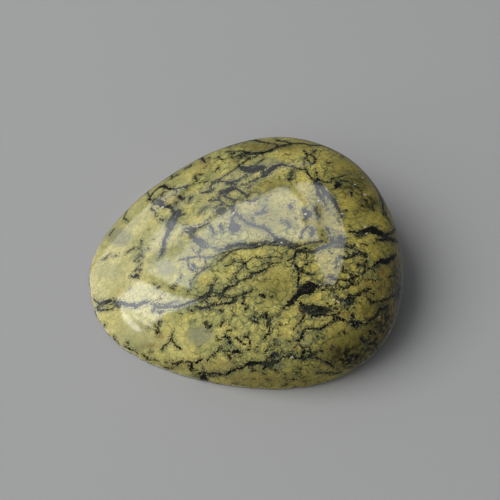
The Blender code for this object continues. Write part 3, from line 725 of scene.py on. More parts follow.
# Each row: middle x and y, half width, half height and strength
PATCHES = tuple(Patch(tint, *row) for tint, rows in (
    (Tint.CLEAR, (
        (119, 237, 12, 9, 1.0), (200, 336, 13, 9, 1.0), (112, 272, 13, 8, 0.3),
        (165, 268, 8, 8, 0.7), (135, 335, 20, 15, 0.4), (279, 366, 6, 4, 0.8),
        (223, 180, 12, 6, 0.4), (268, 161, 12, 4, 0.6), (304, 340, 10, 6, 0.4),
        (351, 250, 8, 6, 0.4),
    )),
    (Tint.RUST, (
        (169, 200, 6, 5, 0.5), (176, 200, 4, 4, 0.7), (205, 165, 9, 6, 0.35),
        (198, 174, 5, 3, 0.35), (256, 148, 6, 3, 0.6), (268, 146, 6, 3, 0.5),
        (287, 149, 12, 3, 0.4), (235, 160, 5, 5, 0.3), (150, 346, 11, 2.4, 0.5),
        (160, 337, 4, 4, 0.6), (334, 349, 10, 4, 0.6), (381, 272, 5, 5, 0.6),
        (395, 267, 4, 6, 0.5), (372, 287, 22, 8, 0.35), (378, 330, 10, 9, 0.6),
        (395, 312, 6, 8, 0.4), (345, 313, 6, 3, 0.5), (205, 296, 5, 4, 0.3),
        (220, 366, 16, 6, 0.35), (255, 380, 40, 8, 0.35), (180, 366, 20, 5, 0.4),
    )),
    (Tint.OLIVE, (
        (277, 285, 22, 19, 0.7), (345, 345, 26, 16, 0.6), (355, 215, 16, 14, 0.5),
        (345, 165, 22, 10, 0.5), (275, 188, 24, 9, 0.7), (262, 216, 36, 18, 0.6),
        (205, 250, 26, 14, 0.2), (322, 222, 16, 34, 0.6), (270, 146, 44, 5, 0.8),
        (306, 383, 30, 8, 0.5), (385, 240, 12, 12, 0.2), (345, 178, 22, 14, 0.8),
    )),
    # SHADE rows: a dark brown zone low at the right, and painted shade on the right and far flanks
    # that face away from the light
    (Tint.SHADE, (
        (352, 358, 26, 14, 0.95), (366, 310, 6, 8, 0.55), (355, 189, 14, 12, 0.75),
        (368, 203, 12, 9, 0.95), (385, 322, 15, 22, 0.95), (374, 345, 20, 16, 0.95),
        (399, 286, 9, 34, 0.8), (404, 250, 7, 26, 0.7), (221, 211, 5, 4, 0.4),
    )),
) for row in rows)


@dataclass(frozen=True)
class FlankVein:
    """A vein on a side that the picture doesn't show.

    The points are (bearing, height, width): degrees from +X, and millimetres.
    """

    name: str
    points: tuple[Triple, ...]
    tone: Tone = Tone.INK


@dataclass(frozen=True)
class SawnVein:
    """A vein where the saw has cut it: points are (x, y, width) in millimetres."""

    name: str
    points: tuple[Triple, ...]
    tone: Tone = Tone.INK


BACK_VEINS = (
    FlankVein("back 1", ((112, 9.5, 0.5), (111, 7.5, 0.6), (108, 5.8, 0.8), (104, 4.6, 0.5),
        (99, 3.9, 0.4), (95, 2.4, 0.6), (93, 0.6, 0.4))),
    FlankVein("back 2", ((98, 9.5, 0.4), (95, 8.2, 0.8), (91, 7.4, 1.1), (86, 7.0, 0.9),
        (80, 6.1, 0.5), (75, 5.6, 0.4), (70, 4.1, 0.3))),
    FlankVein("back 3", ((84, 10.5, 0.3), (82, 8.8, 0.5), (81, 6.8, 0.4), (83, 4.8, 0.3),
        (82, 2.2, 0.4), (80, 0.5, 0.3))),
    FlankVein("back 4", ((72, 11.0, 0.5), (68, 9.6, 0.7), (63, 8.8, 0.5), (57, 8.6, 0.4),
        (50, 7.4, 0.6), (44, 7.0, 0.9), (38, 6.2, 0.6), (31, 5.8, 0.4))),
    FlankVein("back 5", ((60, 8.6, 0.3), (58, 6.4, 0.4), (60, 4.0, 0.3), (57, 1.4, 0.4))),
    FlankVein("back 6", ((44, 7.0, 0.4), (42, 4.6, 0.5), (38, 2.8, 0.3), (36, 0.8, 0.3))),
    FlankVein("back 7", ((128, 7.0, 0.3), (126, 5.2, 0.5), (121, 4.4, 0.4), (117, 2.8, 0.3),
        (116, 0.6, 0.3))),
    FlankVein("back 8", ((142, 5.4, 0.3), (139, 4.0, 0.4), (136, 2.8, 0.6), (131, 2.2, 0.4),
        (125, 1.8, 0.3))),
    FlankVein("back 9", ((158, 4.2, 0.3), (155, 2.8, 0.4), (150, 2.2, 0.3), (147, 0.8, 0.3))),
    FlankVein("back 10", ((104, 4.6, 0.3), (107, 2.9, 0.3), (106, 1.2, 0.3)), Tone.MOSS),
    FlankVein("east 1", ((28, 11.0, 0.3), (25, 8.8, 0.5), (21, 7.8, 0.9), (16, 7.0, 0.6),
        (10, 6.6, 0.4), (4, 5.2, 0.4))),
    FlankVein("east 2", ((16, 7.0, 0.3), (15, 4.6, 0.4), (12, 2.4, 0.4), (11, 0.6, 0.3))),
    FlankVein("east 3", ((4, 9.0, 0.4), (1, 7.0, 0.6), (-3, 5.6, 0.4), (-8, 4.8, 0.5),
        (-14, 4.4, 0.3))),
    FlankVein("east 4", ((-3, 5.6, 0.3), (-4, 3.2, 0.3), (-2, 1.0, 0.3)), Tone.UMBER),
    FlankVein("east 5", ((-12, 9.6, 0.3), (-16, 7.8, 0.5), (-22, 6.4, 0.3),
        (-27, 6.0, 0.3)), Tone.MOSS),
    FlankVein("east 6", ((30, 3.4, 0.3), (26, 2.2, 0.4), (22, 1.2, 0.3))),
    FlankVein("back blot 1", ((90, 5.0, 0.8), (88.5, 4.6, 1.2), (87.5, 4.9, 0.7))),
    FlankVein("back blot 2", ((52, 5.0, 0.5), (50.5, 4.6, 0.9), (49.5, 4.8, 0.5)), Tone.SLATE),
    FlankVein("back blot 3", ((120, 7.2, 0.6), (118.5, 7.6, 0.9), (117, 7.4, 0.5)), Tone.SLATE),
)

BASE_VEINS = (
    SawnVein("base 1", ((-28, 3, 0.4), (-23, 2.2, 0.7), (-18, 3.6, 0.5), (-13, 3.0, 0.8),
        (-8, 4.6, 1.2), (-3, 4.0, 0.6), (2, 5.4, 0.5), (7, 5.0, 0.9), (12, 6.8, 0.6),
        (18, 6.2, 0.5), (24, 8.4, 0.7), (29, 8.0, 0.4))),
    SawnVein("base 2", ((-14, 23, 0.3), (-12, 18, 0.5), (-13, 13, 0.8), (-9, 9, 0.4),
        (-8, 4.6, 0.5))),
    SawnVein("base 3", ((2, 5.4, 0.4), (4, 10, 0.6), (3, 15, 0.9), (6, 20, 0.5), (5, 25, 0.4))),
    SawnVein("base 4", ((7, 5.0, 0.3), (9, 0, 0.5), (8, -5, 0.4), (11, -10, 0.7), (10, -16, 0.5),
        (13, -22, 0.4))),
    SawnVein("base 5", ((-18, 3.6, 0.3), (-17, -2, 0.5), (-19, -7, 0.4), (-16, -12, 0.6),
        (-17, -18, 0.3))),
    SawnVein("base 6", ((-16, -12, 0.3), (-10, -13, 0.5), (-5, -11, 0.9), (0, -13, 0.6),
        (5, -11.5, 0.4), (11, -10, 0.4))),
    SawnVein("base 7", ((18, 6.2, 0.3), (19, 12, 0.5), (17, 17, 0.4), (19, 21, 0.3))),
    SawnVein("base 8", ((-5, -11, 0.3), (-6, -17, 0.4), (-3, -22, 0.6), (-4, -27, 0.3))),
    SawnVein("base 9", ((-13, 3.0, 0.3), (-11, -2, 0.4), (-6, -5, 0.6), (-1, -4, 0.4),
        (3, -6, 0.3)), Tone.MOSS),
    SawnVein("base 10", ((22, -2, 0.4), (20, -7, 0.6), (23, -12, 0.4), (21, -17, 0.3))),
    SawnVein("base blot 1", ((-2, 15, 1.2), (-1, 15.6, 1.8), (0.5, 15.2, 1.0))),
    SawnVein("base blot 2", ((15, -4, 0.8), (16, -3.4, 1.4), (17.2, -3.8, 0.7)), Tone.SLATE),
    SawnVein("base blot 3", ((-23, -4, 0.5), (-22.4, -4.6, 1.0), (-21.6, -4.4, 0.5)), Tone.UMBER),
)

# Each group of drawn veins, and how much bolder it is laid than it was read
DRAWN_VEINS = (
    (LEFT_TIP_VEINS, 1.3), (WAIST_VEINS, 1.15), (UPPER_LEFT_VEINS, 1.4), (TOP_VEINS, 1.3),
    (VEILED_VEINS, 1.1), (ARCH_VEINS, 1.15), (BOOT_VEINS, 1.15), (CENTRE_RIGHT_VEINS, 1.25),
    (FRONT_LEFT_VEINS, 1.15), (RIGHT_VEINS, 1.5),
)


def added(name: str, data: bpy.types.ID) -> bpy.types.Object:
    """Make an object of a mesh, a light or a camera, and add it to the scene."""
    made = bpy.data.objects.new(name, data)
    bpy.context.scene.collection.objects.link(made)
    return made


def note(mesh: bpy.types.Mesh, name: str, values: np.ndarray | list[float]) -> None:
    """Store one number for each point of a mesh."""
    attribute = mesh.attributes.new(name, "FLOAT", "POINT")
    attribute.data.foreach_set("value", np.asarray(values, np.float32))


@dataclass(frozen=True)
class PhotoCamera:
    """The camera at the picture's own angle."""

    azimuth: float = 0.5
    elevation: float = 50.0
    distance: float = 0.399
    aim: Triple = (0.00092, -0.00108, 0.0080)
    lens: float = 100.0
    sensor: float = 24.0
    picture: int = 500
    nearest: float = 0.01
    farthest: float = 20.0

    @property
    def focal(self) -> float:
        """Return the focal length in picture pixels."""
        return self.lens / self.sensor * self.picture

    def basis(self) -> tuple[Vector, Vector, Vector, Vector]:
        """Return the camera's place, and its right, up and backward directions."""
        turn = math.radians(self.azimuth)
        rise = math.radians(self.elevation)
        level = math.cos(rise)
        back = Vector((math.sin(turn) * level, -math.cos(turn) * level, math.sin(rise)))
        right = Vector((math.cos(turn), math.sin(turn), 0.0))
        return Vector(self.aim) + back * self.distance, right, back.cross(right), back

    def ray(self, x: float, y: float) -> tuple[Vector, Vector]:
        """Return the ray through a picture point.

        Args:
            x: Picture pixels from the left.
            y: Picture pixels from the top.

        Returns:
            The ray's start and its direction.
        """
        place, right, up, back = self.basis()
        middle = self.picture / 2
        direction = right * (x - middle) / self.focal - up * (y - middle) / self.focal - back
        return place, direction.normalized()

    def pictured(self, points: np.ndarray) -> np.ndarray:
        """Find where points stand in the picture.

        Args:
            points: Places in metres, one a row.

        Returns:
            The x and y of each in picture pixels, one a row.
        """
        place, right, up, back = (np.array(part) for part in self.basis())
        offset = points - place
        depth = -(offset @ back)
        across = self.picture / 2 + offset @ right / depth * self.focal
        down = self.picture / 2 - offset @ up / depth * self.focal
        return np.stack((across, down), axis=1)

    def build(self) -> bpy.types.Object:
        """Make the camera and give it to the scene.

        Returns:
            The camera object.
        """
        place, right, up, back = self.basis()
        data = bpy.data.cameras.new("photo_camera")
        data.lens = self.lens
        data.sensor_width = self.sensor
        data.clip_start = self.nearest
        data.clip_end = self.farthest
        camera = added("photo_camera", data)
        axes = Matrix((right, up, back)).transposed()
        camera.matrix_world = Matrix.Translation(place) @ axes.to_4x4()
        bpy.context.scene.camera = camera
        return camera


@dataclass(frozen=True)
class PebbleForm:
    """The leaning pebble, as a rule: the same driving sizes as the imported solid."""

    half_length: float = 0.0320
    half_depth: float = 0.0279
    half_thickness: float = 0.0115
    plan_squareness: float = 2.25
    profile_squareness: float = 2.7
    depth_growth: float = 0.18
    depth_curve: float = -0.11
    thickness_growth: float = 0.35
    end_bend: float = -0.0040
    swell_height: float = 0.00015
    swell_length: float = 0.031
    swell_width: float = 0.023
    swell_phase: float = 1.0
    lean: float = math.radians(13.1)
    back_lean: float = math.radians(1.3)
    rise: float = 0.0017
    least_tilt: float = math.radians(40)
    most_tilt: float = math.radians(150)
    halvings: int = 40

    def turn(self) -> np.ndarray:
        """Return the rotation from the upright body to the leaning one."""
        lean = Matrix.Rotation(self.back_lean, 3, "X") @ Matrix.Rotation(-self.lean, 3, "Y")
        return np.array(lean)

    def points(self, directions: np.ndarray) -> np.ndarray:
        """Place unit directions of the leaning frame on the surface.

        Args:
            directions: Unit vectors, one a row.

        Returns:
            Points in metres, one a row, before they are centred.
        """
        turn = self.turn()
        d = directions @ turn
        x, y, z = (np.abs(part) for part in d.T)
        plan = (x**self.plan_squareness + y**self.plan_squareness) ** (1 / self.plan_squareness)
        square = self.profile_squareness
        reach = (plan**square + z**square) ** (1 / square)
        u, v, w = (d / reach[:, None]).T
        depth = self.half_depth * (1 + self.depth_growth * u + self.depth_curve * u * u)
        thickness = self.half_thickness * (1 + self.thickness_growth * u)
        sides = (self.half_length * u, depth * v + self.end_bend * u * u, thickness * w)
        p = np.stack(sides, axis=1)
        across = np.sin(math.tau * p[:, 0] / self.swell_length + self.swell_phase)
        along = np.cos(math.tau * p[:, 1] / self.swell_width)
        p = p + d * (self.swell_height * across * along)[:, None]
        p = p @ turn.T
        p[:, 2] += self.rise
        return p

    def polar(self, tilt: np.ndarray, bearing: np.ndarray) -> np.ndarray:
        """Place directions on the surface.

        Args:
            tilt: Tilts from straight up, in radians.
            bearing: Bearings from +X, in radians.

        Returns:
            Points in metres, one a row.
        """
        level = np.sin(tilt)
        parts = (level * np.cos(bearing), level * np.sin(bearing), np.cos(tilt))
        return self.points(np.stack(parts, axis=1))

    def tilt_at_height(self, bearing: np.ndarray, height: np.ndarray) -> np.ndarray:
        """Find by halving the tilt at which the surface comes down to a height.

        Args:
            bearing: Bearings in radians.
            height: The height wanted at each bearing, in metres.

        Returns:
            The tilt from straight up at each bearing, in radians.
        """
        low = np.full_like(bearing, self.least_tilt)
        high = np.full_like(bearing, self.most_tilt)
        for _ in range(self.halvings):
            middle = (low + high) / 2
            above = self.polar(middle, bearing)[:, 2] > height
            low = np.where(above, middle, low)
            high = np.where(above, high, middle)
        return (low + high) / 2


@dataclass(frozen=True)
class RimWear:
    """Flakes and nicks that knocks took out of the sawn rim.

    A big flake is (bearing in degrees, length, depth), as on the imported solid. The dice
    place each nick beside a big flake, at the front left or anywhere. Nothing above the
    highest height is worn. A wave of the lift is (its count round the rim, its phase).
    """

    flakes: tuple[Triple, ...] = (
        (172, 0.0026, 0.00050), (181, 0.0018, 0.00035), (189, 0.0034, 0.00055),
        (198, 0.0022, 0.00040), (206, 0.0030, 0.00060), (215, 0.0020, 0.00040),
        (224, 0.0028, 0.00045), (243, 0.0016, 0.00040), (289, 0.0032, 0.00080),
        (296, 0.0017, 0.00045), (331, 0.0020, 0.00040), (14, 0.0024, 0.00050),
        (58, 0.0030, 0.00055), (97, 0.0019, 0.00040), (133, 0.0027, 0.00050),
    )
    flake_length_share: float = 0.8
    shallowness: float = 0.55
    height_share: float = 0.42
    highest: float = 0.003
    nicks: int = 170
    nick_length: tuple[float, float] = (0.0003, 0.0026)
    nick_shortness: int = 4
    nick_depth_share: tuple[float, float] = (0.05, 0.13)
    share_by_flakes: float = 0.5
    flake_spread: float = 4
    share_front_left: float = 0.35
    front_left: float = 205
    front_left_spread: float = 26
    lift: float = 0.00020
    lift_change: float = 0.00009
    lift_waves: tuple[tuple[int, float], ...] = ((5, 0.4), (13, 2.1), (31, 1.2))
    neighbour: int = 4
    seed: int = 27

    def lift_at(self, bearing: np.ndarray) -> np.ndarray:
        """Return how high the chipped edge stands above the floor at each bearing."""
        waves = sum(np.sin(count * bearing + phase) for count, phase in self.lift_waves)
        return self.lift + self.lift_change * waves / len(self.lift_waves)

    def all_flakes(self) -> list[Triple]:
        """Return the big flakes and the seeded nicks, each (bearing, length, depth)."""
        dice = random.Random(self.seed)
        flakes = [
            (math.radians(turn), length * self.flake_length_share, depth * self.shallowness)
            for turn, length, depth in self.flakes
        ]
        shortest, longest = self.nick_length
        for _ in range(self.nicks):
            length = shortest + (longest - shortest) * dice.random() ** self.nick_shortness
            depth = length * dice.uniform(*self.nick_depth_share)
            flakes.append((math.radians(self.nick_bearing(dice) % 360), length, depth))
        return flakes

    def nick_bearing(self, dice: random.Random) -> float:
        """Draw a nick's bearing: most lie beside a big flake or at the front left.

        Args:
            dice: The seeded source of random numbers.

        Returns:
            The bearing in degrees.
        """
        draw = dice.random()
        if draw < self.share_by_flakes:
            return dice.gauss(dice.choice(self.flakes)[0], self.flake_spread)
        if draw < self.share_by_flakes + self.share_front_left:
            return dice.gauss(self.front_left, self.front_left_spread)
        return dice.uniform(0, 360)

    def wear(self, points: np.ndarray, rim: np.ndarray) -> tuple[np.ndarray, np.ndarray]:
        """Take the flakes out of the surface.

        Args:
            points: All points of the dome.
            rim: The points of its lowest ring.

        Returns:
            The worn points, and how deep each was cut, in metres.
        """
        worn = points.copy()
        order = np.argsort(np.arctan2(rim[:, 1], rim[:, 0]) % math.tau)
        ring = rim[order]
        bearings = np.arctan2(ring[:, 1], ring[:, 0]) % math.tau
        low = points[:, 2] < self.highest
        for bearing, length, depth in self.all_flakes():
            index = int(np.searchsorted(bearings, bearing)) % len(ring)
            ahead = ring[(index + self.neighbour) % len(ring)] - ring[index - self.neighbour]
            outward = np.array((ahead[1], -ahead[0], 0.0))
            outward /= np.linalg.norm(outward)
            along = np.array((-outward[1], outward[0], 0.0))
            height = length * self.height_share
            middle = ring[index] + outward * (height - depth)
            middle[2] = 0.0
            local = worn[low] - middle
            out = local @ outward
            side = (local @ along) / (length / 2)
            rise = local[:, 2] / height
            room = 1 - side**2 - rise**2
            wall = -height * np.sqrt(np.clip(room, 0, 1))
            inside = (room > 0) & (out > wall) & (out < height)
            shift = np.where(inside, wall - out, 0.0)
            worn[low] += outward[None, :] * shift[:, None]
        return worn, np.linalg.norm(worn - points, axis=1)


@dataclass
class StoneShell:
    """The closed surface: a fine square-to-disc grid on the dome, rings on the base.

    The dome's tilts are looked up in a table of spokes, and its rings crowd a little
    towards the rim. The bevel inside the rim is uneven by two waves round it.
    """

    form: PebbleForm = field(default_factory=PebbleForm)
    wear: RimWear = field(default_factory=RimWear)
    squares: int = 280
    spokes: int = 720
    spoke_samples: int = 200
    table_steps: int = 401
    crowding: float = 0.08
    crowding_power: int = 6
    rim_radius: float = 0.9999
    bevel: float = 0.00050
    bevel_change: float = 0.5
    bevel_waves: tuple[int, int] = (23, 41)
    bevel_phase: float = 1
    base_rings: tuple[float, ...] = (0.985, 0.93, 0.80, 0.55, 0.25)
    scar_depth: float = 0.00003
    edge_height: float = 0.0008

    def disc(self) -> tuple[np.ndarray, np.ndarray]:
        """Map a square grid to a disc.

        Returns:
            The radius, 0 to 1, and the bearing in radians of every grid point.
        """
        steps = np.linspace(-1, 1, self.squares + 1)
        a, b = (part.ravel() for part in np.meshgrid(steps, steps, indexing="ij"))
        wide = np.abs(a) >= np.abs(b)
        radius = np.where(wide, np.abs(a), np.abs(b))
        safe_a = np.where(a == 0, 1, a)
        safe_b = np.where(b == 0, 1, b)
        bearing = np.where(
            wide,
            math.pi / 4 * b / safe_a + np.where(a < 0, math.pi, 0),
            math.pi / 2 - math.pi / 4 * a / safe_b + np.where(b < 0, math.pi, 0),
        )
        return radius, bearing % math.tau

    def tilts(self, radius: np.ndarray, bearing: np.ndarray) -> np.ndarray:
        """Find tilts that space the rings evenly along the surface.

        Args:
            radius: Disc radius, 0 at the top and 1 on the rim.
            bearing: Bearings in radians.

        Returns:
            The tilt from straight up of every point.
        """
        shares = np.linspace(0, 1, self.table_steps)
        turns = np.arange(self.spokes) / self.spokes * math.tau
        last = self.form.tilt_at_height(turns, self.wear.lift_at(turns))
        table = np.zeros((self.spokes, self.table_steps))
        for number in range(self.spokes):
            tilt = np.linspace(0, last[number], self.spoke_samples)
            line = self.form.polar(tilt, np.full(self.spoke_samples, turns[number]))
            gaps = np.linalg.norm(np.diff(line, axis=0), axis=1)
            run = np.concatenate(([0], np.cumsum(gaps)))
            table[number] = np.interp(shares, run / run[-1], tilt)
        share = (1 + self.crowding) * radius - self.crowding * radius**self.crowding_power
        row = bearing / math.tau * self.spokes
        row_low = np.floor(row).astype(int)
        row_part = row - row_low
        column = share * (self.table_steps - 1)
        column_low = np.clip(np.floor(column).astype(int), 0, self.table_steps - 2)
        column_part = column - column_low
        pick = np.arange(len(radius))
        near, far = (
            rows[pick, column_low] * (1 - column_part) + rows[pick, column_low + 1] * column_part
            for rows in (table[row_low % self.spokes], table[(row_low + 1) % self.spokes])
        )
        tilt = near * (1 - row_part) + far * row_part
        outer = radius > self.rim_radius
        tilt[outer] = self.form.tilt_at_height(bearing[outer], self.wear.lift_at(bearing[outer]))
        return tilt

    def build(self) -> bpy.types.Mesh:
        """Build the mesh, with the attributes that its finish reads.

        Returns:
            The mesh of the whole stone.
        """
        radius, bearing = self.disc()
        dome = self.form.polar(self.tilts(radius, bearing), bearing)
        outer = np.flatnonzero(radius > self.rim_radius)
        outer = outer[np.argsort(bearing[outer])]
        low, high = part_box("stone")
        middle = (dome.min(axis=0) + dome.max(axis=0)) / 2
        dome[:, 0] += (low.x + high.x) / 2 - middle[0]
        dome[:, 1] += (low.y + high.y) / 2 - middle[1]
        dome, cut = self.wear.wear(dome, dome[outer])
        rings, centre = self.base_points(dome[outer], bearing[outer])
        points = np.concatenate([dome] + rings + [centre[None, :]])
        faces = self.dome_faces() + self.base_faces(outer, len(dome), len(rings))
        mesh = bpy.data.meshes.new("polished_stone")
        mesh.from_pydata(points.tolist(), [], faces)
        mesh.validate()
        mesh.update()
        self.note_edges(mesh, dome, len(outer), cut)
        return mesh

    def base_points(
        self, rim: np.ndarray, bearing: np.ndarray
    ) -> tuple[list[np.ndarray], np.ndarray]:
        """Place the rings of the underside, the first one inside an uneven bevel.

        Args:
            rim: The worn rim's points, in order.
            bearing: The bearing of each in radians.

        Returns:
            The rings from the rim inward, and the middle.
        """
        centre = rim.mean(axis=0)
        centre[2] = 0.0
        spokes = rim - centre
        spokes[:, 2] = 0.0
        length = np.linalg.norm(spokes, axis=1)
        one, other = self.bevel_waves
        waves = np.sin(one * bearing), np.sin(other * bearing + self.bevel_phase)
        ripple = 1 + self.bevel_change * waves[0] * waves[1]
        first = centre + spokes * (1 - self.bevel * ripple / length)[:, None]
        return [first] + [centre + (first - centre) * share for share in self.base_rings], centre

    def dome_faces(self) -> list[tuple[int, ...]]:
        """Return the squares of the dome's grid, turned outward."""
        side = self.squares + 1
        corner = np.arange(side * side).reshape(side, side)
        corners = (corner[:-1, :-1], corner[1:, :-1], corner[1:, 1:], corner[:-1, 1:])
        quads = np.stack([part.ravel() for part in corners], axis=1)
        return [tuple(quad) for quad in quads.tolist()]

    def base_faces(self, outer: np.ndarray, first: int, rings: int) -> list[tuple[int, ...]]:
        """Close the underside with rings from the rim to the middle.

        Args:
            outer: The rim's point numbers, in order of bearing.
            first: The number of the first point after the dome.
            rings: How many rings the base has.

        Returns:
            The faces, turned downward.
        """
        count = len(outer)
        starts = range(first, first + count * rings, count)
        loops = [outer.tolist()] + [list(range(start, start + count)) for start in starts]
        faces = []
        for near, far in zip(loops[:-1], loops[1:]):
            for place in range(count):
                after = (place + 1) % count
                faces.append((near[place], far[place], far[after], near[after]))
        pole = first + count * rings
        last = loops[-1]
        faces += [(last[place], pole, last[(place + 1) % count]) for place in range(count)]
        return faces

    def note_edges(
        self, mesh: bpy.types.Mesh, dome: np.ndarray, rim_count: int, cut: np.ndarray
    ) -> None:
        """Store what the finish needs to know about the rim, the flakes and the base.

        Args:
            mesh: The mesh to write to.
            dome: The dome's points, which come first in the mesh.
            rim_count: How many points the rim has, and each ring of the base.
            cut: How deep each dome point was cut.
        """
        base = np.ones(len(mesh.vertices))
        base[: len(dome)] = 0.0
        scar = np.zeros(len(base))
        scar[: len(dome)] = np.clip(cut / self.scar_depth, 0, 1)
        edge = np.zeros(len(base))
        edge[: len(dome)] = np.clip(1 - dome[:, 2] / self.edge_height, 0, 1)
        bevel = slice(len(dome), len(dome) + rim_count)
        edge[bevel] = 1.0
        scar[bevel] = 1.0
        for name, values in (("sawn", base), ("scar", scar), ("edge", edge)):
            note(mesh, name, values)


@dataclass
class SurfaceCaster:
    """Finds where rays from the camera or from the side meet the stone.

    A ray that just misses the outline is searched in small steps for the place where it
    passes the stone closest.
    """

    camera: PhotoCamera
    mesh: bpy.types.Mesh
    search_lead: float = 0.03
    search_step: float = 0.001
    search_steps: int = 60
    widest_miss: float = 0.0008
    mirror_reach: float = 2.0
    side_distance: float = 0.1
    tree: BVHTree = field(init=False)

    def __post_init__(self) -> None:
        """Build the search tree."""
        shape = bmesh.new()
        shape.from_mesh(self.mesh)
        self.tree = BVHTree.FromBMesh(shape)
        shape.free()

    def from_picture(self, x: float, y: float) -> Vector | None:
        """Cast a picture point onto the stone.

        Args:
            x: Picture pixels from the left.
            y: Picture pixels from the top.

        Returns:
            The point on the stone, or None where the ray passes it by far.
        """
        start, direction = self.camera.ray(x, y)
        hit = self.tree.ray_cast(start, direction)[0]
        if hit is not None:
            return hit
        lead = start.length - self.search_lead
        closest = min(
            (start + direction * (lead + n * self.search_step) for n in range(self.search_steps)),
            key=lambda place: self.tree.find_nearest(place)[3],
        )
        found = self.tree.find_nearest(closest)
        return found[0] if found[3] < self.widest_miss else None

    def mirrored(self, x: float, y: float) -> tuple[Vector, Vector]:
        """Find what the polish mirrors at a picture point.

        Args:
            x: Picture pixels from the left.
            y: Picture pixels from the top.

        Returns:
            The point on the stone, and the direction towards what is mirrored there.
        """
        reach = self.mirror_reach
        across = self.from_picture(x + reach, y) - self.from_picture(x - reach, y)
        down = self.from_picture(x, y + reach) - self.from_picture(x, y - reach)
        facing = down.cross(across).normalized()
        return self.from_picture(x, y), self.camera.ray(x, y)[1].reflect(facing)

    def from_side(self, bearing: float, height: float) -> Vector | None:
        """Cast a level ray inward onto the stone.

        Args:
            bearing: Degrees from +X.
            height: Millimetres above the floor.

        Returns:
            The point on the stone, or None above its top.
        """
        turn = math.radians(bearing)
        out = Vector((math.cos(turn), math.sin(turn), 0.0))
        start = out * self.side_distance + Vector((0.0, 0.0, height * MM))
        return self.tree.ray_cast(start, -out)[0]


def densify(points: list[Triple], step: float) -> list[Triple]:
    """Put extra points along a route.

    Args:
        points: The route, each (a, b, width).
        step: The longest gap to leave, in the units of a and b.

    Returns:
        The route with its gaps filled.
    """
    filled = [points[0]]
    for start, end in zip(points[:-1], points[1:]):
        gap = math.dist(start[:2], end[:2])
        count = max(1, math.ceil(gap / step))
        for number in range(1, count + 1):
            share = number / count
            filled.append(tuple(s + (e - s) * share for s, e in zip(start, end)))
    return filled


@dataclass(frozen=True)
class LaidVein:
    """A vein laid on the stone: its points, its half widths in metres and its tone."""

    points: list[Vector]
    halves: list[float]
    tone: Tone


@dataclass
class VeinNetwork:
    """All veins and specks, laid on the stone as lines that carry a width and a tone.

    Widths read off the picture are in its pixels, and are laid fuller by one factor. The
    sizes of the specks take turns.
    """

    caster: SurfaceCaster
    broad_width: float = 3.4
    fullness: float = 1.12
    speck_width: float = 1.7
    speck_sizes: Triple = (0.75, 1.0, 1.25)
    speck_slant: float = 0.3
    glint_width: float = 1.5
    glint_slant: float = -0.2
    dot_half: float = 0.4
    picture_step: float = 2.5
    flank_step: float = 0.5

    def drawn(self) -> list[Vein]:
        """Return every vein drawn in the picture, dark specks and painted glints included."""
        veins = [vein.bolder(boldness) for group, boldness in DRAWN_VEINS for vein in group]
        half = self.dot_half
        for number, (x, y) in enumerate(DARK_SPECKS):
            width = self.speck_width * self.speck_sizes[number % len(self.speck_sizes)]
            points = ((x - half, y), (x + half, y + self.speck_slant))
            veins.append(Vein(f"speck {number}", points, width))
        # Each painted glint is a short pale stroke that stands for a highlight
        for number, (x, y) in enumerate(PAINTED_GLINTS):
            points = ((x - half, y), (x + half, y + self.glint_slant))
            veins.append(Vein(f"grain {number}", points, self.glint_width, Tone.PALE))
        return veins

    def kept(self, places: list[tuple[Vector | None, float]], tone: Tone) -> LaidVein:
        """Keep the places that lie on the stone.

        Args:
            places: Each place or None, with the vein's width there in millimetres.
            tone: The vein's tone.

        Returns:
            The vein as it is laid.
        """
        found = [(place, width / 2 * MM) for place, width in places if place is not None]
        return LaidVein([place for place, _ in found], [half for _, half in found], tone)

    def laid(self) -> list[LaidVein]:
        """Lay every vein on the stone: drawn, on the far side, and sawn.

        Returns:
            The veins that have a length.
        """
        laid = []
        for vein in self.drawn():
            route = densify(vein.strokes(), self.picture_step)
            places = [
                (self.caster.from_picture(x, y), width * self.fullness / PIXELS_PER_MM)
                for x, y, width in route
            ]
            laid.append(self.kept(places, vein.tone))
        for vein in BACK_VEINS:
            route = densify(list(vein.points), self.flank_step)
            places = [(self.caster.from_side(turn, rise), width) for turn, rise, width in route]
            laid.append(self.kept(places, vein.tone))
        for vein in BASE_VEINS:
            places = [(Vector((x * MM, y * MM, 0.0)), width) for x, y, width in vein.points]
            laid.append(self.kept(places, vein.tone))
        return [vein for vein in laid if len(vein.points) > 1]

    def wires(self) -> tuple[bpy.types.Object, bpy.types.Object]:
        """Make two wire objects, one of the fine veins and one of the broad ones.

        Returns:
            The fine wires and the broad wires.
        """
        limit = self.broad_width * self.fullness / PIXELS_PER_MM / 2 * MM
        laid = self.laid()
        fine = [vein for vein in laid if max(vein.halves) < limit]
        broad = [vein for vein in laid if max(vein.halves) >= limit]
        LOG.info("veins: %d fine and %d broad", len(fine), len(broad))
        return self.wire("fine_veins", fine), self.wire("broad_veins", broad)

    def wire(self, name: str, veins: list[LaidVein]) -> bpy.types.Object:
        """Join veins into one wire object.

        Args:
            name: The object's name.
            veins: The veins laid on the stone.

        Returns:
            The wire object, with attributes "half" and "tone" on its points.
        """
        points = []
        edges = []
        for vein in veins:
            first = len(points)
            points.extend(tuple(point) for point in vein.points)
            edges.extend((n, n + 1) for n in range(first, len(points) - 1))
        mesh = bpy.data.meshes.new(name)
        mesh.from_pydata(points, edges, [])
        note(mesh, "half", [half for vein in veins for half in vein.halves])
        note(mesh, "tone", [vein.tone.value for vein in veins for _ in vein.points])
        return added(name, mesh)


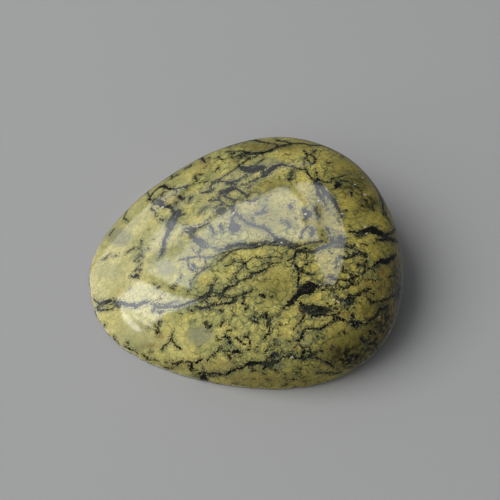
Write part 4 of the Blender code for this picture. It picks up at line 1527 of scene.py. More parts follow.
@dataclass
class TintMap:
    """Writes the soft coloured patches, painted shade among them, to the stone as point
    attributes.

    A patch reaches no farther over the stone than a number of its radii, so it stays off
    the side that the picture doesn't show. Clear patches have a firm border, the others
    fade by a bell curve.
    """

    caster: SurfaceCaster
    farthest: float = 4.5
    fading: float = 0.3
    clear_border: float = 1.3
    clear_fading: float = 0.6
    bell_steepness: float = 0.9
    bell_power: float = 1.3

    def write(self, mesh: bpy.types.Mesh) -> None:
        """Write one attribute for each tint.

        Args:
            mesh: The stone's mesh.
        """
        points = np.zeros(len(mesh.vertices) * 3, np.float32)
        mesh.vertices.foreach_get("co", points)
        points = points.reshape(-1, 3)
        picture = self.caster.camera.pictured(points)
        for tint in Tint:
            total = np.zeros(len(points), np.float32)
            for patch in PATCHES:
                if patch.tint is tint:
                    total = np.maximum(total, self.spread(points, picture, patch))
            note(mesh, tint.value, np.clip(total, 0, 1))

    def spread(self, points: np.ndarray, picture: np.ndarray, patch: Patch) -> np.ndarray:
        """Find how strongly one patch tints each point.

        Args:
            points: The stone's points, one a row.
            picture: Where each stands in the picture.
            patch: The patch.

        Returns:
            The strength of the tint at each point.
        """
        middle = self.caster.from_picture(patch.x, patch.y)
        if middle is None:
            return np.zeros(len(points), np.float32)
        reach = ((picture[:, 0] - patch.x) / patch.across) ** 2
        reach += ((picture[:, 1] - patch.y) / patch.along) ** 2
        away = np.linalg.norm(points - np.array(middle)[None, :], axis=1)
        room = self.farthest * max(patch.across, patch.along) / PIXELS_PER_MM * MM
        seen = np.clip((room - away) / (self.fading * room), 0, 1) * patch.strength
        if patch.tint is Tint.CLEAR:
            border = (self.clear_border - np.sqrt(reach)) / self.clear_fading
            return seen * np.clip(border, 0, 1)
        return seen * np.exp(-self.bell_steepness * reach**self.bell_power)


@dataclass(frozen=True)
class Grain:
    """A noise: its scale for each metre, how many layers it has, and how rough it is."""

    scale: float | Socket
    detail: float = 3.0
    rough: float = 0.6


@dataclass(frozen=True)
class Band:
    """A smooth step: a value from start to end is turned into one from low to high."""

    start: float
    end: float
    low: float = 0.0
    high: float = 1.0


@dataclass(frozen=True)
class Spots:
    """The places where a noise lies above a band of greys."""

    grain: Grain
    band: Band


class TreeBuilder:
    """Adds nodes to one node tree and joins them."""

    def __init__(self, tree: bpy.types.NodeTree) -> None:
        """Keep the tree that the nodes go into."""
        self.tree = tree

    @classmethod
    def group(
        cls, name: str, takes: dict[str, object], gives: dict[str, str], kind: str = "Shader"
    ) -> tuple["TreeBuilder", bpy.types.NodeOutputs]:
        """Start a node group.

        Args:
            name: The group's name.
            takes: For each input its kind in words, or the constant of a plain number.
            gives: The kind of each output.
            kind: The kind of tree.

        Returns:
            The builder of its tree, and the sockets of its inputs.
        """
        tree = bpy.data.node_groups.new(name, f"{kind}NodeTree")
        for title, value in takes.items():
            word = value if isinstance(value, str) else "Float"
            socket = tree.interface.new_socket(
                name=title, in_out="INPUT", socket_type=f"NodeSocket{word}"
            )
            if word is not value:
                socket.default_value = value
        for title, word in gives.items():
            tree.interface.new_socket(
                name=title, in_out="OUTPUT", socket_type=f"NodeSocket{word}"
            )
        make = cls(tree)
        return make, make.add("NodeGroupInput").outputs

    def give(self, results: dict[str, Socket]) -> bpy.types.NodeTree:
        """Join results to the group's outputs, and return the finished tree."""
        self.add("NodeGroupOutput", None, results)
        return self.tree

    def add(
        self,
        kind: str,
        settings: dict[str, object] | None = None,
        values: dict[object, object] | None = None,
    ) -> bpy.types.Node:
        """Add one node.

        Args:
            kind: The node's type.
            settings: Its own properties.
            values: A constant or a socket for each input, by name or by place.

        Returns:
            The new node.
        """
        node = self.tree.nodes.new(kind)
        for name, value in (settings or {}).items():
            setattr(node, name, value)
        for key, value in (values or {}).items():
            self.feed(node.inputs[key], value)
        return node

    def feed(self, socket: Socket, value: object) -> None:
        """Join a socket to another, or set its constant."""
        if isinstance(value, Socket):
            self.tree.links.new(value, socket)
        else:
            socket.default_value = value

    def maths(self, operation: str, *values: object, clamp: bool = False) -> Socket:
        """Add a Math node and return its result."""
        settings = {"operation": operation, "use_clamp": clamp}
        return self.add("ShaderNodeMath", settings, dict(enumerate(values))).outputs[0]

    def product(self, first: object, *others: object) -> Socket:
        """Multiply values together and return the result."""
        for value in others:
            first = self.maths("MULTIPLY", first, value)
        return first

    def centred(self, grey: Socket) -> Socket:
        """Move a noise's grey so that it swings about nought, and return the result."""
        return self.maths("SUBTRACT", grey, MIDDLE_GREY)

    def vector(self, operation: str, *values: object) -> bpy.types.Node:
        """Add a Vector Math node and return it."""
        return self.add("ShaderNodeVectorMath", {"operation": operation}, dict(enumerate(values)))

    def scaled(self, vector: Socket, share: object) -> Socket:
        """Multiply a vector or a colour by a number and return the result."""
        node = self.vector("SCALE", vector)
        self.feed(node.inputs["Scale"], share)
        return node.outputs[0]

    def noises(self, place: Socket, grain: Grain) -> bpy.types.NodeOutputs:
        """Add a Noise Texture and return its grey value and its colour."""
        values = {"Vector": place, "Scale": grain.scale}
        values |= {"Detail": grain.detail, "Roughness": grain.rough}
        return self.add("ShaderNodeTexNoise", None, values).outputs

    def noise(self, place: Socket, grain: Grain) -> Socket:
        """Return the grey value of a noise."""
        return self.noises(place, grain)[0]

    def ease(
        self, value: Socket, start: object, end: object, low: float = 0.0, high: float = 1.0
    ) -> Socket:
        """Map a value smoothly from one range onto another.

        Args:
            value: The value to map.
            start: Where the first range starts. It may lie above its end.
            end: Where the first range ends.
            low: The result at the start and before it.
            high: The result at the end and past it.

        Returns:
            The mapped value.
        """
        values = {0: value, 1: start, 2: end, 3: low, 4: high}
        settings = {"interpolation_type": "SMOOTHSTEP", "clamp": True}
        return self.add("ShaderNodeMapRange", settings, values).outputs[0]

    def band(self, value: Socket, band: Band) -> Socket:
        """Turn a value by the smooth step of a band."""
        return self.ease(value, band.start, band.end, band.low, band.high)

    def spots(self, place: Socket, spots: Spots) -> Socket:
        """Return how much a place lies in the spots of a noise."""
        return self.band(self.noise(place, spots.grain), spots.band)

    def blend(self, share: Socket, first: Socket | Colour, second: Socket | Colour) -> Socket:
        """Mix two colours and return the result."""
        settings = {"data_type": "RGBA", "blend_type": "MIX", "clamp_factor": True}
        return self.add("ShaderNodeMix", settings, {0: share, 6: first, 7: second}).outputs[2]

    def cells(self, place: Socket, scale: float, feature: str = "F1") -> bpy.types.NodeOutputs:
        """Part the space into cells and return their outputs."""
        values = {"Vector": place, "Scale": scale}
        return self.add("ShaderNodeTexVoronoi", {"feature": feature}, values).outputs

    def parts(self, colour: Socket) -> bpy.types.NodeOutputs:
        """Take a colour apart."""
        return self.add("ShaderNodeSeparateColor", None, {0: colour}).outputs

    def attribute(self, name: str, output: str = "Fac") -> Socket:
        """Read one of the piece's own attributes in a shader."""
        return self.add("ShaderNodeAttribute", {"attribute_name": name}).outputs[output]


@dataclass(frozen=True)
class VeinCover:
    """Shader group: how much of a vein covers a point, from the vein's line data.

    The line data stands at the stone's points, so the gap that is stored there, less a
    guard, holds back a nearest place that was mixed between two veins.
    """

    name: str = "vein_cover"
    guard: float = 0.00022
    coarse: Grain = Grain(1500.0, 2.0)
    fine: Grain = Grain(3700.0, 2.0)
    swing: float = 2.7
    breaks: Spots = Spots(Grain(2500.0, 2.0, 0.55), Band(0.50, 0.60))
    halo_swing: float = 0.0011
    crumbs: Spots = Spots(Grain(2600.0, 2.0, 0.7), Band(0.55, 0.60))
    thread_drift: Grain = Grain(620.0, 2.0)
    thread_swing: float = 0.0016
    thread_start: float = -0.0005
    thread_line: Band = Band(0.00011, 0.00003)
    thread_parts: Spots = Spots(Grain(2300.0, 2.0), Band(0.50, 0.56))
    # Painted glints: small pale specks of painted highlight beside the veins
    glint_scale: float = 2300.0
    glint_choice: Band = Band(0.86, 0.88)
    glint_size: Band = Band(0.34, 0.16)

    def build(self) -> bpy.types.NodeTree:
        """Build the group.

        Returns:
            The shader node group.
        """
        takes = {
            "Place": "Vector",
            "Nearest": "Vector",
            "Gap": 1.0,
            "Half Width": 0.0,
            "Raggedness": 0.0002,
            "Softness": 0.00006,
            "Halo Reach": 0.0009,
            "Breaks": 0.6,
        }
        results = ("Cover", "Halo", "Threads", "Glints", "Crumbs")
        make, taken = TreeBuilder.group(self.name, takes, dict.fromkeys(results, "Float"))
        place = taken["Place"]
        half = taken["Half Width"]
        away = make.vector("DISTANCE", place, taken["Nearest"]).outputs["Value"]
        held = make.maths("SUBTRACT", taken["Gap"], self.guard)
        distance = make.maths("MAXIMUM", away, held)
        coarse = make.centred(make.noise(place, self.coarse))
        both = make.maths("ADD", coarse, make.centred(make.noise(place, self.fine)))
        ragged = make.maths("ADD", distance, make.product(both, taken["Raggedness"], self.swing))
        inside = make.maths("SUBTRACT", half, taken["Softness"])
        cover = make.ease(ragged, make.maths("ADD", half, taken["Softness"]), inside)
        gaps = make.product(make.spots(place, self.breaks), taken["Breaks"])
        wide = make.maths("MULTIPLY_ADD", coarse, self.halo_swing, distance)
        halo = make.ease(wide, make.maths("ADD", half, taken["Halo Reach"]), inside)
        return make.give({
            "Cover": make.product(cover, make.maths("SUBTRACT", 1.0, gaps)),
            "Halo": halo,
            "Threads": self.threads(make, place, distance, half),
            "Glints": self.glints(make, place, halo),
            "Crumbs": make.product(make.spots(place, self.crumbs), halo),
        })

    def threads(self, make: TreeBuilder, place: Socket, distance: Socket, half: Socket) -> Socket:
        """Draw thin broken threads that leave the vein and come back to it.

        Args:
            make: The group's builder.
            place: The Object coordinate.
            distance: The distance to the vein's middle line.
            half: Half the vein's width.

        Returns:
            How much thread covers a point.
        """
        drift = make.noise(place, self.thread_drift)
        offset = make.maths("MULTIPLY_ADD", drift, self.thread_swing, self.thread_start)
        gap = make.maths("SUBTRACT", make.maths("SUBTRACT", distance, half), offset)
        line = make.band(make.maths("ABSOLUTE", gap), self.thread_line)
        return make.product(line, make.spots(place, self.thread_parts))

    def glints(self, make: TreeBuilder, place: Socket, halo: Socket) -> Socket:
        """Scatter painted glints beside the vein: small pale specks of painted highlight.

        Args:
            make: The group's builder.
            place: The Object coordinate.
            halo: How near the vein a point is, 0 to 1.

        Returns:
            How much painted glint covers a point.
        """
        cells = make.cells(place, self.glint_scale)
        chosen = make.band(make.parts(cells["Color"])[0], self.glint_choice)
        return make.product(make.band(cells["Distance"], self.glint_size), chosen, halo)


@dataclass(frozen=True)
class SerpentineGround:
    """Shader group: the yellow-green ground with its mottling, crackle and pepper.

    The stone is busier and deeper in colour towards the blunt end and low at the front,
    and calmer and paler towards the thin end. Places along X and Z are in metres.
    """

    name: str = "serpentine_ground"
    cream: Colour = srgb(222, 214, 146)
    yellow: Colour = srgb(216, 204, 118)
    green: Colour = srgb(168, 170, 106)
    deep: Colour = srgb(208, 190, 84)
    ochre: Colour = srgb(188, 152, 66)
    lichen: Colour = srgb(114, 122, 86)
    clear: Colour = srgb(152, 153, 122)
    rust: Colour = srgb(150, 110, 48)
    olive: Colour = srgb(118, 112, 48)
    # shade: the dark of the SHADE patches, partly the stone's own dark zones and partly painted
    # shade
    shade: Colour = srgb(28, 23, 11)
    crackle: Colour = srgb(52, 56, 38)
    pepper: Colour = srgb(30, 28, 20)
    clouds: Grain = Grain(130.0, 4.0, 0.55)
    mottle: Grain = Grain(1050.0, 4.0, 0.62)
    grains: Grain = Grain(3300.0, 2.0)
    drift: float = 0.03
    busy_along: Band = Band(-0.020, 0.004, 0.25, 1.0)
    busy_low: Band = Band(0.0075, 0.0025)
    busy_front: Band = Band(-0.016, 0.0, 0.0, 0.8)
    small_clouds: Grain = Grain(420.0)
    green_share: Band = Band(0.84, 1.16, 0.0, 0.85)
    cream_along: Band = Band(-0.010, -0.024, 0.0, 0.7)
    deep_along: Band = Band(-0.008, 0.028, 0.0, 0.9)
    ochre_spots: Spots = Spots(Grain(1500.0), Band(0.54, 0.70, 0.0, 0.5))
    mottle_depth: float = 0.27
    grain_depth: float = 0.28
    greys: tuple[float, float] = (0.30, 0.70)
    brighter_share: float = 0.85
    calm_swing: float = 0.4
    busy_swing: float = 0.6
    warp: Grain = Grain(1500.0, 3.0, 0.5)
    warp_reach: float = 0.0010
    cell_scale: float = 640.0
    bordered: Spots = Spots(Grain(260.0), Band(0.44, 0.60))
    border_line: Band = Band(0.20, 0.02)
    border_share: float = 0.8
    crackled: Spots = Spots(Grain(700.0, 4.0, 0.7), Band(0.50, 0.58))
    crackle_line: Band = Band(0.085, 0.02)
    tint_parts: Band = Band(0.34, 0.62, 0.30, 1.15)
    flecks: Spots = Spots(Grain(2500.0, 2.0, 0.7), Band(0.60, 0.67))
    crowds: Spots = Spots(Grain(330.0), Band(0.44, 0.62))
    fleck_share: float = 0.5
    dot_scales: tuple[float, float] = (1250.0, 2100.0)
    dot_choice: Band = Band(0.86, 0.88)
    least_dot: float = 0.14
    dot_growth: float = 0.16
    dot_core: float = 0.5

    def build(self) -> bpy.types.NodeTree:
        """Build the group.

        Returns:
            The shader node group.
        """
        takes = {
            "Place": "Vector",
            "Clear": 0.0,
            "Rust": 0.0,
            "Olive": 0.0,
            "Shade": 0.0,
            "Crackle": 0.8,
            "Pepper": 0.85,
        }
        gives = {"Colour": "Color", "Grain": "Float"}
        make, taken = TreeBuilder.group(self.name, takes, gives)
        place = taken["Place"]
        clouds = make.noise(place, self.clouds)
        mottle = make.noise(place, self.mottle)
        grains = make.noise(place, self.grains)
        axes = make.add("ShaderNodeSeparateXYZ", None, {0: place}).outputs
        along = make.maths("MULTIPLY_ADD", make.centred(clouds), self.drift, axes[0])
        low = make.band(axes[2], self.busy_low)
        front = make.product(low, make.band(axes[0], self.busy_front))
        busy = make.maths("MAXIMUM", make.band(along, self.busy_along), front)
        hues = make.maths("ADD", clouds, make.noise(place, self.small_clouds))
        colour = make.blend(make.band(hues, self.green_share), self.yellow, self.green)
        colour = make.blend(make.band(along, self.cream_along), colour, self.cream)
        colour = make.blend(make.band(along, self.deep_along), colour, self.deep)
        colour = make.blend(make.spots(place, self.ochre_spots), colour, self.ochre)
        for grain, depth in ((mottle, self.mottle_depth), (grains, self.grain_depth)):
            colour = make.scaled(colour, self.swing(make, grain, busy, depth))
        colour = self.celled(make, colour, place, busy, taken["Crackle"])
        # The Shade tint lays dark patches: partly real dark zones, partly painted shade on the
        # flanks away from the light
        for name, grain, hue in (
            ("Rust", mottle, self.rust),
            ("Olive", mottle, self.olive),
            ("Shade", mottle, self.shade),
            ("Clear", grains, self.clear),
        ):
            parts = make.band(grain, self.tint_parts)
            share = make.maths("MULTIPLY", taken[name], parts, clamp=True)
            colour = make.blend(share, colour, hue)
        plain = make.maths("SUBTRACT", 1.0, taken["Clear"], clamp=True)
        amount = make.product(taken["Pepper"], busy, plain)
        crowded = (make.spots(place, self.flecks), make.spots(place, self.crowds))
        flecks = make.product(*crowded, amount, self.fleck_share)
        colour = make.blend(flecks, colour, self.pepper)
        for scale in self.dot_scales:
            colour = make.blend(self.dots(make, place, scale, amount), colour, self.pepper)
        return make.give({"Colour": colour, "Grain": grains})

    def celled(
        self, make: TreeBuilder, colour: Socket, place: Socket, busy: Socket, amount: Socket
    ) -> Socket:
        """Part the ground into cells with greener borders and a fine dark crackle.

        Args:
            make: The group's builder.
            colour: The ground's colour.
            place: The Object coordinate.
            busy: How busy the stone is at a point.
            amount: The strength of the crackle.

        Returns:
            The new colour.
        """
        warp = make.noises(place, self.warp)[1]
        centred = make.vector("SUBTRACT", warp, (MIDDLE_GREY,) * 3).outputs[0]
        shift = make.scaled(centred, self.warp_reach)
        bent = make.vector("ADD", place, shift).outputs[0]
        away = make.cells(bent, self.cell_scale, "DISTANCE_TO_EDGE")["Distance"]
        bordered = make.spots(place, self.bordered)
        line = make.band(away, self.border_line)
        border = make.product(line, bordered, busy, self.border_share)
        colour = make.blend(border, colour, self.lichen)
        crackled = make.spots(place, self.crackled)
        crackle = make.product(make.band(away, self.crackle_line), crackled, busy, amount)
        return make.blend(crackle, colour, self.crackle)

    def swing(self, make: TreeBuilder, grain: Socket, busy: Socket, depth: float) -> Socket:
        """Turn a grain into a factor about 1, with a wider swing where the stone is busy.

        Args:
            make: The group's builder.
            grain: The grey of a noise.
            busy: How busy the stone is at a point.
            depth: The widest swing to the dark side.

        Returns:
            The factor.
        """
        centred = make.ease(grain, *self.greys, -depth, depth * self.brighter_share)
        share = make.maths("MULTIPLY_ADD", busy, self.busy_swing, self.calm_swing)
        return make.maths("MULTIPLY_ADD", centred, share, 1.0)

    def dots(self, make: TreeBuilder, place: Socket, scale: float, amount: Socket) -> Socket:
        """Scatter fine dark dots: one in a cell, and only in some cells.

        Args:
            make: The group's builder.
            place: The Object coordinate.
            scale: How fine the cells are.
            amount: The strength of the dots.

        Returns:
            How much dot covers a point.
        """
        cells = make.cells(place, scale)
        parts = make.parts(cells["Color"])
        chosen = make.band(parts[0], self.dot_choice)
        size = make.maths("MULTIPLY_ADD", parts[1], self.dot_growth, self.least_dot)
        dot = make.ease(cells["Distance"], size, make.product(size, self.dot_core))
        return make.product(dot, chosen, amount)


@dataclass(frozen=True)
class VeinFill:
    """Shader group: the colour inside the veins, for each tone."""

    name: str = "vein_fill"
    ink: Colour = srgb(10, 11, 14)
    # slate: grey veins; under the mirrored panes it also paints part of their reflection
    slate: Colour = srgb(46, 50, 56)
    moss: Colour = srgb(60, 62, 38)
    umber: Colour = srgb(58, 36, 18)
    # pale: the fill of pale specks and of the painted glints, which are painted highlights
    pale: Colour = srgb(236, 230, 200)
    fleck: Colour = srgb(92, 94, 84)
    flecks: Spots = Spots(Grain(2600.0, 3.0, 0.65), Band(0.55, 0.70))
    half_step: float = 0.1

    def build(self) -> bpy.types.NodeTree:
        """Build the group.

        Returns:
            The shader node group.
        """
        takes = {"Place": "Vector", "Tone": 0.0, "Flecks": 0.5}
        make, taken = TreeBuilder.group(self.name, takes, {"Colour": "Color"})
        ramp = make.add("ShaderNodeValToRGB", None, {0: taken["Tone"]})
        ramp.color_ramp.interpolation = "CONSTANT"
        stops = ramp.color_ramp.elements
        stops.remove(stops[1])
        stops[0].position = 0.0
        stops[0].color = self.ink
        for tone, colour in (
            (Tone.SLATE, self.slate),
            (Tone.MOSS, self.moss),
            (Tone.UMBER, self.umber),
            (Tone.PALE, self.pale),
        ):
            stops.new(tone.value - self.half_step).color = colour
        flecks = make.product(make.spots(taken["Place"], self.flecks), taken["Flecks"])
        return make.give({"Colour": make.blend(flecks, ramp.outputs[0], self.fleck)})


@dataclass(frozen=True)
class VeinKind:
    """How one kind of vein is drawn: two lengths in metres, then two shares."""

    name: str
    raggedness: float
    halo_reach: float
    breaks: float
    flecks: float


@dataclass(frozen=True)
class StoneGroups:
    """The shader groups that both finishes of the stone share."""

    cover: bpy.types.NodeTree
    ground: bpy.types.NodeTree
    fill: bpy.types.NodeTree
    kinds: tuple[VeinKind, ...] = (
        VeinKind("broad", 0.00042, 0.0011, 0.08, 0.28),
        VeinKind("fine", 0.00026, 0.0008, 0.5, 0.15),
    )
    halo_colour: Colour = srgb(116, 124, 90)
    thread_colour: Colour = srgb(20, 22, 20)
    # The colour of the painted glints, small painted highlights
    glint_colour: Colour = srgb(240, 232, 196)
    halo_share: float = 0.32
    thread_share: float = 0.75
    glint_share: float = 0.8
    lightest_dark_tone: float = 0.8

    @classmethod
    def build(cls) -> "StoneGroups":
        """Build the three groups once."""
        return cls(VeinCover().build(), SerpentineGround().build(), VeinFill().build())

    def colour(
        self, make: TreeBuilder, place: Socket, softness: float
    ) -> tuple[Socket, Socket, Socket]:
        """Place the groups in a material.

        Args:
            make: The builder of the material's tree.
            place: The Object coordinate.
            softness: How far the veins' edges fade, in metres.

        Returns:
            The stone's colour, how much vein covers it, and the ground's grain.
        """
        ground = make.add("ShaderNodeGroup", {"node_tree": self.ground}, {"Place": place})
        for tint in Tint:
            make.feed(ground.inputs[tint.name.title()], make.attribute(tint.value))
        colour = ground.outputs["Colour"]
        covers = []
        for kind in self.kinds:
            cover, tone = self.covered(make, place, softness, kind)
            dark = make.maths("LESS_THAN", tone, self.lightest_dark_tone)
            values = {"Place": place, "Tone": tone, "Flecks": kind.flecks}
            fill = make.add("ShaderNodeGroup", {"node_tree": self.fill}, values)
            # Halo, threads and crumbs are the stone's own colour; the glints are painted
            # highlights
            for output, share, hue in (
                ("Halo", self.halo_share, self.halo_colour),
                ("Threads", self.thread_share, self.thread_colour),
                ("Crumbs", self.thread_share, self.thread_colour),
                ("Glints", self.glint_share, self.glint_colour),
            ):
                colour = make.blend(make.product(cover[output], dark, share), colour, hue)
            colour = make.blend(cover["Cover"], colour, fill.outputs["Colour"])
            covers.append(cover["Cover"])
        return colour, make.maths("MAXIMUM", *covers), ground.outputs["Grain"]

    def covered(
        self, make: TreeBuilder, place: Socket, softness: float, kind: VeinKind
    ) -> tuple[bpy.types.NodeOutputs, Socket]:
        """Read the line data of one kind of vein, and cover the stone by it.

        Args:
            make: The builder of the material's tree.
            place: The Object coordinate.
            softness: How far the veins' edges fade, in metres.
            kind: The kind of vein.

        Returns:
            The outputs of the cover group, and the tone of the nearest vein.
        """
        values = {
            "Place": place,
            "Nearest": make.attribute(f"{kind.name}_point", "Vector"),
            "Gap": make.attribute(f"{kind.name}_gap"),
            "Half Width": make.attribute(f"{kind.name}_half"),
            "Raggedness": kind.raggedness,
            "Softness": softness,
            "Halo Reach": kind.halo_reach,
            "Breaks": kind.breaks,
        }
        cover = make.add("ShaderNodeGroup", {"node_tree": self.cover}, values).outputs
        return cover, make.attribute(f"{kind.name}_tone")


def new_material(name: str) -> tuple[bpy.types.Material, TreeBuilder, bpy.types.NodeInputs]:
    """Start a material.

    Args:
        name: The material's name.

    Returns:
        The material, its tree's builder, and the inputs of its Principled BSDF.
    """
    material = bpy.data.materials.new(name)
    material.use_nodes = True
    shader = material.node_tree.nodes["Principled BSDF"]
    return material, TreeBuilder(material.node_tree), shader.inputs


@dataclass(frozen=True)
class PolishedFinish:
    """The hand-polished skin, with its dull pale chips along the rim.

    The painted contact shadow is the dark line just above the floor. The edge value runs from 0
    above the rim to 1 on it.
    """

    name: str = "serpentine_polished"
    softness: float = 0.00007
    roughness: float = 0.07
    vein_roughness: float = 0.10
    chip_roughness: float = 0.62
    ior: float = 1.46
    chip_colour: Colour = srgb(226, 217, 180)
    chip_share: float = 0.85
    # Painted contact shadow: the colour of the dark line along the rim just above the floor
    contact_shadow_colour: Colour = srgb(24, 22, 18)
    crumbs: Grain = Grain(2600.0)
    worn_parts: Spots = Spots(Grain(420.0), Band(0.40, 0.52))
    worn_edge: Band = Band(0.20, 0.42)
    worn_crumbs: Band = Band(0.32, 0.50)
    contact_shadow_swing: float = 0.9
    contact_shadow_line: Band = Band(0.62, 0.76, 0.0, 0.92)
    smears: Spots = Spots(Grain(260.0), Band(0.45, 0.75, 0.0, 0.04))
    pit_depth: float = 4.0
    grain_relief: float = 0.12
    bump_strength: float = 0.35
    bump_distance: float = 0.00003

    def build(self, groups: StoneGroups) -> bpy.types.Material:
        """Build the material.

        Args:
            groups: The shared shader groups.

        Returns:
            The material.
        """
        material, make, shader = new_material(self.name)
        place = make.add("ShaderNodeTexCoord").outputs["Object"]
        colour, veins, grain = groups.colour(make, place, self.softness)
        edge = make.attribute("edge")
        crumbs = make.noise(place, self.crumbs)
        patchy = make.spots(place, self.worn_parts)
        near = make.band(edge, self.worn_edge)
        worn = make.product(near, make.band(crumbs, self.worn_crumbs), patchy)
        chipped = make.maths("MAXIMUM", make.attribute("scar"), worn, clamp=True)
        colour = make.blend(make.product(chipped, self.chip_share), colour, self.chip_colour)
        # Paint a dark contact shadow along the rim, just above the floor
        contact_shadow = make.maths("MULTIPLY_ADD", make.centred(crumbs), self.contact_shadow_swing, edge)
        colour = make.blend(make.band(contact_shadow, self.contact_shadow_line), colour, self.contact_shadow_colour)
        make.feed(shader["Base Color"], colour)
        rougher = self.vein_roughness - self.roughness
        rough = make.maths("MULTIPLY_ADD", veins, rougher, self.roughness)
        rough = make.maths("ADD", rough, make.spots(place, self.smears))
        rougher = self.chip_roughness - self.roughness
        rough = make.maths("MULTIPLY_ADD", chipped, rougher, rough, clamp=True)
        make.feed(shader["Roughness"], rough)
        shader["IOR"].default_value = self.ior
        pits = make.product(crumbs, chipped, self.pit_depth)
        relief = make.maths("MULTIPLY_ADD", grain, self.grain_relief, pits)
        values = {"Strength": self.bump_strength, "Distance": self.bump_distance}
        bump = make.add("ShaderNodeBump", None, values | {"Height": relief})
        make.feed(shader["Normal"], bump.outputs[0])
        return material


@dataclass(frozen=True)
class SawnFinish:
    """The matt underside, with the faint tracks of the saw."""

    name: str = "serpentine_sawn"
    softness: float = 0.00012
    roughness: float = 0.55
    track_roughness: float = 0.15
    ior: float = 1.56
    dust: Colour = srgb(168, 164, 128)
    dust_share: Band = Band(0.4, 0.7, 0.28, 0.5)
    tracks: Grain = Grain(2400.0)
    track_angle: float = math.radians(24)
    track_stretch: Triple = (1.0, 0.03, 1.0)
    grain_relief: float = 0.4
    vein_depth: float = 0.3
    bump_strength: float = 0.5
    bump_distance: float = 0.00005

    def build(self, groups: StoneGroups) -> bpy.types.Material:
        """Build the material.

        Args:
            groups: The shared shader groups.

        Returns:
            The material.
        """
        material, make, shader = new_material(self.name)
        place = make.add("ShaderNodeTexCoord").outputs["Object"]
        colour, veins, grain = groups.colour(make, place, self.softness)
        turn = (0.0, 0.0, self.track_angle)
        values = {"Vector": place, "Rotation": turn, "Scale": self.track_stretch}
        along = make.add("ShaderNodeMapping", {"vector_type": "POINT"}, values).outputs[0]
        tracks = make.noise(along, self.tracks)
        colour = make.blend(make.band(tracks, self.dust_share), colour, self.dust)
        make.feed(shader["Base Color"], colour)
        rough = make.maths("MULTIPLY_ADD", tracks, self.track_roughness, self.roughness)
        make.feed(shader["Roughness"], rough)
        shader["IOR"].default_value = self.ior
        height = make.maths("ADD", tracks, make.product(grain, self.grain_relief))
        height = make.maths("SUBTRACT", height, make.product(veins, self.vein_depth))
        values = {"Strength": self.bump_strength, "Distance": self.bump_distance}
        bump = make.add("ShaderNodeBump", None, values | {"Height": height})
        make.feed(shader["Normal"], bump.outputs[0])
        return material


